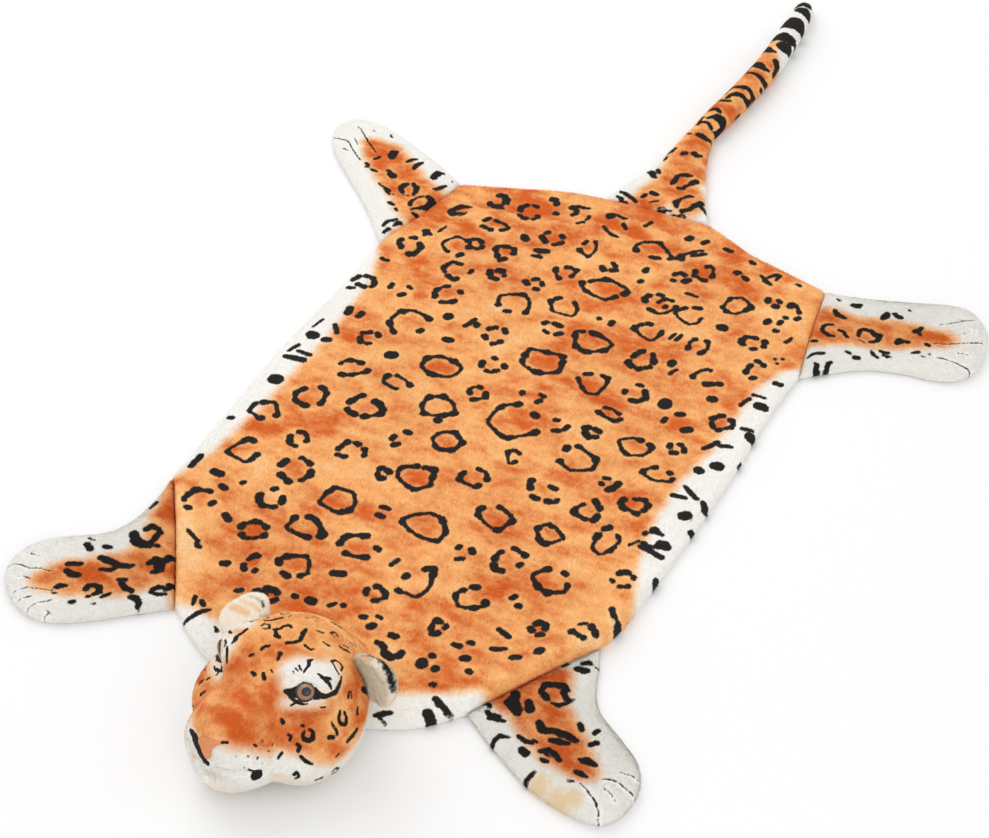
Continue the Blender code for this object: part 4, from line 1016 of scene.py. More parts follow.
# the four legs: marks, claw lines and the orange band along the middle, as x, y, half width in mm
legLook = {
    "leg_front_right": {
        "root": (-177, 195), "paw": (-266, 112), "atSeam": -0.30, "deepen": 0.52,
        "marks": (
            (-258, 140, 2.8, -249, 145, 2.8), (-255, 132, 3.1, -248, 130, 3.5, -242, 133, 3),
            (-252, 111, 2.2, -249, 114, 2.8, -245, 116, 2), (-250, 104, 1.1, -246, 105, 1.1),
            (-226, 121, 2.6, -227, 126, 2.4, -222, 130, 2.4, -216, 129, 2.6, -214, 125, 2.2, -216, 121,
             1.8), (-220, 115, 1.6, -218, 116, 1.8), (-208, 120, 1.3, -206, 125, 2, -203, 129, 1.3),
            (-237, 160, 3.4, -228, 162, 3.9, -219, 161, 3, -209, 164, 2.8, -206, 168, 1.9),
            (-228, 148, 2, -221, 152, 2.6, -219, 156, 2.4), (-207, 146, 1.7, -202, 149, 2),
            (-203, 143, 2.6, -196, 141, 3.3, -189, 141, 2.4),
            (-186, 135, 2.4, -181, 136, 3.1, -176, 134, 2.4, -175, 128, 1.5),
            (-173, 151, 2.2, -170, 156, 2.8, -168, 158, 2),
            (-174, 147, 0.9, -167, 148, 1.8, -160, 152, 1.3),
            (-163, 158, 2.2, -163, 164, 2.8, -159, 169, 2.2),
            (-194, 176, 2.8, -192, 184, 3.4, -187, 178, 2.8),
            (-185, 168, 1.9, -180, 174, 2.8, -184, 185, 3.4, -183, 193, 3.2, -178, 197, 1.9),
            (-229, 201, 4.3, -222, 194, 3.8, -215, 193, 4.7, -208, 196, 3.4, -208, 206, 2.8, -208, 215,
             2.5), (-221, 211, 3.2, -219, 217, 3.4, -212, 217, 2.8), (-201, 199, 2.3, -199, 198, 1.9),
            (-259, 168, 2.8, -252, 165, 2.8), (-242, 174, 2.8, -238, 176, 2.6),
            (-261, 176, 1.3, -255, 176, 1.1), (-231, 102, 1.5, -227, 105, 2),
            (-213, 111, 0.8, -208, 113, 0.8), (-236, 239, 1.9, -235, 247, 2.7),
            (-222, 196, 4.1, -212, 195, 3.2), (-185, 175, 3.2, -183, 186, 2.4),
        ),
        "claws": (
            (-309, 114, 0.6, -306, 117, 0.6, -297, 118, 0.6, -288, 118, 0.6, -278, 123, 0.6, -271, 124, 0.6,
             -266, 126, 0.5),
            (-286, 84, 0.5, -286, 89, 0.6, -281, 94, 0.6, -274, 99, 0.6, -267, 101, 0.6, -259, 104, 0.5,
             -253, 106, 0.5),
            (-255, 70, 0.5, -262, 80, 0.5, -260, 84, 0.5, -257, 88, 0.5, -251, 92, 0.5, -246, 98, 0.4),
            (-301, 132, 0.5, -296, 134, 0.6, -288, 135, 0.4),
            (-292, 105, 0.4, -285, 108, 0.6, -278, 108, 0.6), (-276, 84, 0.4, -271, 88, 0.5, -265, 92, 0.5),
            (-239, 70, 0.5, -243, 81, 0.5, -242, 85, 0.5), (-245, 86, 0.4, -238, 86, 0.4, -239, 82, 0.3),
        ),
        "band": (
            (-267, 111, 12, -255, 122, 18.4, -224, 141, 23.1, -203, 159, 23.1, -190, 180, 31.6, -177, 195,
             33.6), (-219, 235, 13.3, -193, 206, 24.4),
            (-238, 284, 9.7, -217, 250, 15.4, -187, 211, 15.1, -163, 178, 13, -145, 153, 9.1),
        ),
        "peach": (
        ),
    },
    "leg_front_left": {
        "root": (192, 198), "paw": (267, 145), "atSeam": 0.15, "deepen": 0.50,
        "marks": (
            (156, 179, 2.1, 161, 179, 2.3, 165, 175, 1.9),
            (164, 169, 2.1, 170, 164, 2.4, 177, 165, 2.2, 183, 166, 1.7), (171, 169, 1.7, 177, 169, 2.3),
            (177, 199, 4, 180, 188, 5.7, 189, 179, 3.8), (176, 187, 3.1, 180, 183, 3),
            (192, 194, 3.5, 197, 188, 3.6),
            (196, 210, 2.5, 196, 219, 2.8, 204, 222, 3, 211, 224, 3, 217, 222, 2.3),
            (201, 207, 3.5, 205, 205, 3.1), (214, 218, 3, 220, 213, 2.6),
            (210, 202, 1.4, 218, 202, 2.1, 223, 208, 1.7, 227, 214, 1.2),
            (213, 248, 3, 218, 248, 3.7, 223, 251, 2.3), (215, 256, 2.1, 220, 260, 2.7),
            (224, 259, 0.9, 229, 259, 0.9), (200, 247, 1.6, 203, 250, 1.8),
            (211, 177, 3.1, 217, 172, 3.6, 228, 174, 3.6, 240, 175, 3.6, 248, 173, 2.9),
            (228, 164, 2.2, 235, 165, 2.9, 243, 167, 2.2), (202, 157, 1.9, 209, 154, 2.1, 215, 155, 1.7),
            (215, 158, 1.2, 219, 157, 1.2), (212, 144, 3.4, 216, 143, 3.7),
            (225, 150, 2, 231, 154, 2.2, 238, 153, 2.5, 243, 149, 2.4), (230, 142, 2, 236, 142, 2),
            (230, 150, 1.4, 234, 149, 1.4), (244, 191, 2.4, 247, 187, 2.7), (259, 188, 2.1, 260, 194, 2.1),
            (260, 175, 2.2, 264, 179, 2.4), (259, 157, 1.7, 266, 157, 3.4, 274, 156, 2.2),
            (262, 143, 1.9, 267, 143, 2.7, 273, 142, 1.2), (261, 132, 1.3, 265, 133, 1.1),
            (186, 134, 1.9, 184, 145, 2.2, 187, 150, 2.4, 195, 151, 1.2),
            (226, 113, 1.5, 228, 121, 2, 231, 128, 1.7),
        ),
        "claws": (
            (286, 147, 0.7, 293, 150, 0.7, 300, 150, 0.7, 308, 148, 0.7, 313, 148, 0.7, 319, 146, 0.6),
            (271, 134, 0.6, 278, 131, 0.7, 284, 127, 0.7, 291, 123, 0.7, 296, 117, 0.7, 299, 112, 0.7, 302,
             103, 0.7), (291, 139, 0.5, 297, 137, 0.6, 304, 133, 0.4),
            (296, 160, 0.4, 302, 162, 0.5, 311, 164, 0.4),
        ),
        "band": (
            (178, 191, 17.5, 198, 214, 21.9, 203, 235, 12.4),
            (193, 195, 21.8, 215, 181, 24.2, 238, 164, 21.3, 263, 151, 13.5, 273, 148, 7.6),
        ),
        "peach": (
            (237, 119, 16.8), (260, 111, 16.7), (271, 118, 11.7),
        ),
    },
    "leg_rear_right": {
        "root": (-205, 773), "paw": (-347, 832), "atSeam": -0.25, "deepen": 0.24,
        "marks": (
            (-312, 843, 4, -309, 836, 3.9, -309, 847, 2.1),
            (-289, 835, 2.1, -286, 841, 2.6, -281, 845, 1.4),
            (-276, 827, 2.3, -276, 833, 3.5, -272, 841, 1.9),
            (-247, 824, 3.9, -248, 834, 3.9, -244, 837, 2.3),
            (-237, 805, 1.6, -233, 811, 2.5, -229, 819, 1.6), (-324, 822, 1.6, -321, 828, 1.9),
            (-329, 810, 1.9, -325, 808, 1.8), (-326, 804, 1.5, -323, 804, 1.5),
            (-318, 802, 1.8, -311, 802, 2.1), (-300, 811, 2.5, -298, 810, 1.8),
            (-294, 806, 3.9, -291, 805, 4.4),
            (-297, 784, 1.4, -290, 782, 1.4, -281, 775, 1.5, -277, 773, 1.3),
            (-287, 782, 1.8, -280, 779, 1.8), (-275, 776, 1.1, -274, 775, 0.9),
            (-266, 783, 2.3, -272, 790, 3, -271, 796, 3.2, -268, 800, 2.3),
            (-263, 802, 2.3, -256, 799, 3.2, -253, 791, 2.5, -253, 785, 1.6),
            (-262, 780, 0.7, -256, 781, 0.7),
            (-248, 768, 2.5, -249, 775, 2, -245, 783, 1.4, -240, 789, 1.1),
            (-235, 790, 3, -229, 788, 3.6, -229, 785, 4.1, -231, 775, 2.7, -236, 770, 1.6, -242, 765, 1.4,
             -243, 761, 1.1), (-221, 769, 2.5, -219, 767, 2), (-238, 758, 2, -233, 758, 2.7, -224, 748, 2),
            (-269, 761, 2.5, -264, 758, 2.3), (-259, 754, 2, -255, 752, 1.6),
            (-256, 722, 2, -255, 729, 2.7, -254, 732, 2.2), (-251, 734, 2, -248, 739, 1.3),
            (-246, 729, 1.3, -242, 736, 2.2, -245, 737, 1.6), (-250, 713, 1.6, -248, 721, 2.2),
            (-208, 728, 2.4, -207, 735, 3.1, -202, 735, 1.8), (-332, 873, 1.4, -328, 868, 1.2),
        ),
        "claws": (
            (-391, 841, 0.7, -380, 839, 0.7, -371, 838, 0.7, -364, 833, 0.8, -357, 826, 0.8, -348, 819, 0.9,
             -337, 812, 0.8),
            (-374, 867, 0.6, -368, 865, 0.8, -360, 858, 0.9, -348, 847, 1.1, -338, 840, 1.1, -330, 834,
             0.8), (-366, 846, 0.7, -355, 836, 0.7), (-368, 825, 0.6, -360, 822, 0.6),
            (-355, 871, 0.6, -349, 868, 0.6), (-228, 832, 0.9, -226, 830, 0.7),
        ),
        "band": (
            (-343, 846, 10.5, -319, 834, 23.3, -291, 813, 24.2, -261, 791, 26.2, -232, 774, 30.5, -207, 770,
             36), (-231, 734, 11.2, -234, 699, 8.8),
        ),
        "peach": (
        ),
    },
    "leg_rear_left": {
        "root": (233, 784), "paw": (368, 821), "atSeam": -0.10, "deepen": 0.42,
        "marks": (
            (243, 814, 2.3, 248, 808, 3, 255, 808, 3, 258, 806, 2.1),
            (258, 831, 3, 262, 833, 3.8, 265, 836, 2.3), (239, 833, 1.3, 242, 832, 1.3),
            (294, 823, 2.3, 295, 829, 3.8, 296, 833, 2.5), (303, 835, 2.5, 309, 832, 3),
            (314, 848, 1.3, 316, 849, 1.3),
            (249, 791, 1.7, 244, 789, 2.1, 241, 782, 2.1, 246, 776, 2.1, 252, 773, 2.3, 257, 775, 1.5),
            (259, 786, 1.7, 264, 785, 2.1, 270, 779, 1.9),
            (279, 786, 2.1, 279, 795, 2.1, 283, 799, 2.1, 289, 800, 2.1, 295, 796, 3.1, 300, 796, 3.3, 301,
             788, 2.5, 294, 783, 1.7), (284, 780, 0.9, 290, 779, 0.9), (293, 825, 2.1, 296, 827, 2.7),
            (330, 817, 2.1, 333, 820, 2.9, 335, 826, 2.3), (336, 816, 1.7, 337, 815, 1.7),
            (320, 794, 3.5, 322, 796, 4), (327, 797, 2.3, 330, 798, 2.3), (348, 803, 2.3, 351, 802, 2.3),
            (340, 784, 1.7, 345, 787, 1.9), (355, 789, 0.9, 356, 791, 0.9), (350, 783, 0.8, 353, 784, 0.8),
            (300, 770, 1.2, 303, 766, 1.9, 307, 765, 1.7, 311, 765, 1.2), (309, 773, 1.7, 316, 774, 2.1),
            (314, 769, 1, 320, 769, 1.7), (277, 757, 1.7, 282, 756, 1.7), (288, 753, 2.5, 291, 756, 2.5),
            (238, 761, 1.9, 244, 761, 2.1), (245, 735, 1.2, 246, 740, 1.7, 251, 742, 1.9, 257, 746, 2.3),
            (255, 727, 1.9, 257, 726, 2.3, 258, 721, 2.5, 258, 717, 2.1, 261, 720, 1.9),
            (267, 727, 2.1, 267, 733, 2.3, 269, 737, 2.3), (266, 724, 1.2, 268, 725, 1.2),
        ),
        "claws": (
            (351, 841, 0.5, 360, 847, 0.6, 369, 856, 0.7, 376, 863, 0.7, 382, 867, 0.5),
            (354, 809, 0.5, 366, 813, 0.7, 377, 819, 0.7, 390, 827, 0.7, 398, 835, 0.7, 402, 836, 0.5),
            (359, 788, 0.4, 370, 791, 0.6, 380, 791, 0.7, 391, 791, 0.8, 399, 791, 0.8, 406, 786, 0.7),
            (375, 834, 0.5, 382, 843, 0.5), (382, 805, 0.5, 392, 808, 0.6),
        ),
        "band": (
            (233, 784, 31.7, 269, 792, 23.1, 319, 805, 19.9, 353, 817, 14.6, 368, 821, 9.4),
        ),
        "peach": (
        ),
    },
}


legPanel = {"cell": 0.0030, "round": 0.021, "seed": 60, "claw": (0.9, 1.6)}


def legPiece(name, look, seed):
    rng = np.random.default_rng(seed)
    strokes = handStrokes(look["marks"], rng)
    claws = handStrokes(look["claws"], rng, 0.2, 1.0, 0.2)
    band = handStrokes(look["band"], rng, 0.0, 1.0, 3.0)

    def shape(places):
        # a slow ripple, with a groove along each claw line
        x, y = inMm(places).T
        rise = 0.5 * mm * np.sin(x / 13.0) * np.sin(y / 15.0 + 0.9)
        depth, half = legPanel["claw"]
        groove = np.maximum(markField(inMm(places), claws), 0)
        return rise - depth * mm * np.exp(-(groove / half) ** 2)
    piece = panelPiece(name, legPanel["cell"], legPanel["round"], {"fine": strokes, "thin": claws},
                       shape)
    points = coordinates(piece)
    flat, placed = inMm(points[:, :2]), fromChin(points)
    claw = markField(flat, claws)
    mark = np.minimum(markField(flat, strokes), claw)
    inBand = -markField(flat, band, 60.0)
    deep = 0.36 + look["deepen"] * softStep(inBand, 2, 16)
    root = np.hypot(*(placed - look["root"]).T)
    # near the root three legs turn paler; on the front left leg the deeper orange there is painted shadow
    # under the raised edge of the body
    deep += look["atSeam"] * (1 - softStep(root, 20, 70))
    for x, y, half in look["peach"]:
        off = np.hypot(placed[:, 0] - x, placed[:, 1] - y) / half
        deep = np.maximum(deep, 0.6 + 0.9 * np.exp(-off ** 2))
    pile = pileAbove(points) * (1 - 0.75 * (1 - softStep(claw, 0.4, 1.8)))
    out = np.array(look["paw"]) - np.array(look["root"])
    out = out / np.linalg.norm(out)
    dress(piece, mark, inBand, deep, pile, napOver(points, (out[0], out[1], 0.0), 0.2), plushPrint)
    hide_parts(name)
    print(name, len(piece.data.polygons))
    return piece


for number, (name, look) in enumerate(legLook.items()):
    pieces.append(legPiece(name, look, legPanel["seed"] + number))

# the tail panel and the stuffed tail
tailLook = {
    "marks": (
        (-9, 1031, 2.8, -5, 1031, 4, 1, 1032, 3.5, 6, 1033, 2.3), (-10, 993, 3.3, -8, 996, 3),
        (1, 999, 3.9, 5, 998, 3.7, 10, 1001, 1.2), (4, 958, 3, 10, 961, 3.2, 14, 962, 2.3),
        (0, 952, 2.8, 0, 944, 3.4, 0, 939, 3), (8, 935, 2.1, 14, 936, 2.5, 16, 942, 2.7, 19, 946, 1.8),
        (20, 949, 3.4, 23, 955, 3.7), (20, 919, 1.8, 18, 910, 3.4, 21, 904, 2.7),
        (21, 919, 1.6, 26, 927, 2.3, 31, 928, 2), (29, 900, 2.9, 36, 905, 2.5, 39, 915, 3.4, 42, 922, 3.8),
        (45, 917, 2.7, 53, 913, 2.3, 56, 909, 1.6), (-20, 903, 2.7, -19, 908, 3),
        (-14, 914, 3.4, -7, 913, 3.2), (-8, 899, 1.4, -2, 904, 1.6),
        (-31, 950, 3, -27, 945, 3.9, -22, 940, 2.3), (-35, 948, 1.8, -32, 948, 2.3),
        (-26, 956, 2.3, -21, 951, 2.1), (-29, 991, 1.9, -25, 995, 2.6, -24, 1001, 2.6),
        (-26, 975, 1.2, -26, 984, 1.4), (-47, 901, 2.1, -40, 900, 2.5, -32, 896, 2.5, -24, 893, 1.8),
        (-48, 893, 1.4, -41, 891, 2), (-42, 888, 1.1, -33, 889, 1), (2, 894, 1.1, 9, 897, 1.1),
        (11, 894, 1, 19, 896, 1.1), (3, 891, 1.4, 12, 892, 0.9), (21, 892, 1.6, 26, 892, 1.6),
        (29, 895, 1.1, 37, 895, 0.9), (-21, 1034, 1.4, -17, 1031, 1.4),
    ),
    "band": (
        (-34, 872, 10.1, -11, 902, 19.3, 5, 949, 27.5, -1, 1006, 25.6, -7, 1042, 18.8),
        (10, 939, 22.8, 32, 911, 20.3),
    ),
    "bands": (
        (1031, -5, 2.8, 1031, 20, 4, 1032, 52, 3.5, 1032, 68, 2.3),
        (1028, 82, 1.9, 1040, 81, 2.6, 1056, 97, 3.1, 1067, 97, 3.6, 1071, 69, 4.7, 1070, 32, 3.3, 1068, 7,
         1.4, 1064, -14, 0.9),
        (1049, -61, 0.9, 1055, -48, 1.2, 1056, -19, 0.9, 1056, 8, 0.9, 1053, 39, 1.1, 1050, 58, 1.1),
        (1059, -51, 0.9, 1065, -46, 1.4), (1081, -39, 1.7, 1083, -14, 1.9, 1080, 18, 1.1),
        (1104, -51, 1, 1102, -16, 1.1, 1105, 12, 1), (1100, 109, 1.7, 1106, 110, 1.9),
        (1122, -59, 1.1, 1136, -66, 1.7, 1137, -47, 1.9, 1137, -7, 1.7, 1140, 23, 1.9, 1140, 48, 1.7, 1138,
         78, 1.9, 1144, 107, 1.4),
        (1110, -16, 1.2, 1117, -13, 1.7, 1122, 10, 2.4, 1124, 37, 1.9, 1124, 69, 1.9, 1127, 92, 3.1, 1133,
         98, 2.4), (1195, -68, 1.5, 1179, -58, 1.2),
        (1173, -54, 1, 1172, -32, 1, 1171, 4, 1.5, 1170, 39, 2.2, 1170, 76, 2.4, 1176, 105, 2.4),
        (1159, 84, 1.2, 1164, 112, 1.2), (1198, -68, 2.5, 1192, -20, 4.1, 1188, 16, 3.2, 1190, 46, 1.2),
        (1212, 50, 3.7, 1209, 68, 3.7, 1201, 82, 2.4, 1195, 85, 2),
        (1229, -61, 2, 1239, -68, 3.2, 1228, -20, 2.5, 1228, 9, 1.1),
        (1246, 34, 6.2, 1249, 60, 5.4, 1247, 84, 2),
        (1262, -69, 2.5, 1263, -45, 5.5, 1265, -4, 7, 1266, 38, 5.5, 1270, 64, 2.7),
        (1295, -66, 3.8, 1298, -30, 7.8, 1303, 12, 9.3, 1302, 59, 7.5, 1301, 97, 3.3),
        (1337, -4, 5.1, 1337, 38, 6.3, 1336, 78, 3.8), (1348, -43, 3.1, 1354, -15, 3.8, 1356, 29, 3.8),
    ),
    "line": ((-8.5, 1050, 10.75), (-5, 1080, 12.5), (0.5, 1120, 13), (5.2, 1170, 13.2),
             (7.7, 1220, 13.1), (6.5, 1270, 12.8), (3.3, 1320, 12.2), (-0.5, 1356, 10.5),
             (-2.5, 1373, 8), (-3, 1379, 4.5)),
    "bold": 1.4, "more": 1.2,
    "halved": 2.4, "halvedBase": 3.0,  # mm beside a mark where the cells are finer
    "whiteFrom": 1258, "whiteSide": 13.5,
    "nap": ((0.0, 1.0, 0.0), 0.15),
}


def stuffedCopy(name, levels):
    # the joined CAD copy, rounded between its facets
    work = mergedNode(name)
    mesh = bpy.data.meshes.new(name + "_rounded")
    work.to_mesh(mesh)
    work.free()
    source = bpy.data.objects.new(name + "_rounded", mesh)
    scene.collection.objects.link(source)
    smoother = source.modifiers.new("round", "SUBSURF")
    smoother.levels = smoother.render_levels = levels
    bpy.context.view_layer.update()
    graph = bpy.context.evaluated_depsgraph_get()
    made = bpy.data.meshes.new_from_object(source.evaluated_get(graph))
    made.calc_loop_triangles()
    points = np.array([v.co for v in made.vertices], float)
    faces = np.array([t.vertices for t in made.loop_triangles])
    bpy.data.objects.remove(source)
    return points, faces


def tubePoint(along, around):
    # the place on the tail so far from the chin, turned so many degrees from its top
    line = np.array(tailLook["line"], float)
    x, z = np.interp(along, line[:, 1], line[:, 0]), np.interp(along, line[:, 1], line[:, 2])
    start = Vector((x * mm, along * mm - chinY, z * mm))
    way = Vector((math.sin(math.radians(around)), 0.0, math.cos(math.radians(around))))
    hit = tailTree.ray_cast(start + way * 0.06, -way)[0]
    return inMm(np.array(hit or start))


tailPoints, tailFaces = stuffedCopy("tail", 2)
tailTree = BVHTree.FromPolygons(tailPoints.tolist(), tailFaces.tolist())


def tubeStrokes(rows, rng):
    strokes = []
    for row in rows:
        nodes = np.array(row, float).reshape(-1, 3)
        if nodes[:, 1].max() - nodes[:, 1].min() > 125:
            # a band goes on round the underside
            nodes = np.concatenate([nodes, nodes[:1] + (0, 360, 0)])
        line, radii = [], []
        for a, b in zip(nodes[:-1], nodes[1:]):
            parts = max(1, int(max(abs(b[0] - a[0]) / 3, abs(b[1] - a[1]) / 12)))
            for k in range(parts):
                mixed = a + (b - a) * k / parts
                line.append(tubePoint(mixed[0], mixed[1]))
                radii.append(mixed[2] * rng.uniform(*handUneven))
        line.append(tubePoint(nodes[-1][0], nodes[-1][1]))
        radii.append(nodes[-1][2])
        strokes.append((np.array(line), np.array(radii) * tailLook["bold"] + tailLook["more"]))
    return strokes


rng = np.random.default_rng(5)
tailStrokes = tubeStrokes(tailLook["bands"], rng)
tailField = markField(inMm(tailPoints), tailStrokes)
tailPoints, tailFaces = refined(tailPoints, tailFaces, np.abs(tailField) < tailLook["halved"])
tail = newPiece("tail_plush", tailPoints, tailFaces)
x, y = fromChin(tailPoints).T
whiteTail = tailLook["whiteFrom"] - y - 6 * (x > 8)
whiteSide = tailLook["whiteSide"] - x + 25 * (1 - softStep(y, 1180, 1240))
dress(tail, markField(inMm(tailPoints), tailStrokes), np.minimum(whiteTail, whiteSide),
      -0.04 + 0.34 * np.sin(y / 17.0) ** 2, pileAbove(tailPoints, 0.002),
      napOver(tailPoints, *tailLook["nap"]), plushPrint)
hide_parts("tail")
pieces.append(tail)

basePoints, baseFaces = stuffedCopy("tail_base", 2)
baseStrokes = handStrokes(tailLook["marks"], rng)
baseField = markField(inMm(basePoints[:, :2]), baseStrokes)
basePoints, baseFaces = refined(basePoints, baseFaces, np.abs(baseField) < tailLook["halvedBase"])
tailBase = newPiece("tail_base_plush", basePoints, baseFaces)
flat = inMm(basePoints[:, :2])
inBand = -markField(flat, handStrokes(tailLook["band"], rng, 0.0, 1.0, 0.0), 60.0)
dress(tailBase, markField(flat, baseStrokes), inBand + 2, 0.34 + 0.24 * softStep(inBand, 4, 18),
      pileAbove(basePoints), napOver(basePoints, *tailLook["nap"]), plushPrint)
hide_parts("tail_base")
pieces.append(tailBase)
print("tail", len(tail.data.polygons), "tail base", len(tailBase.data.polygons))

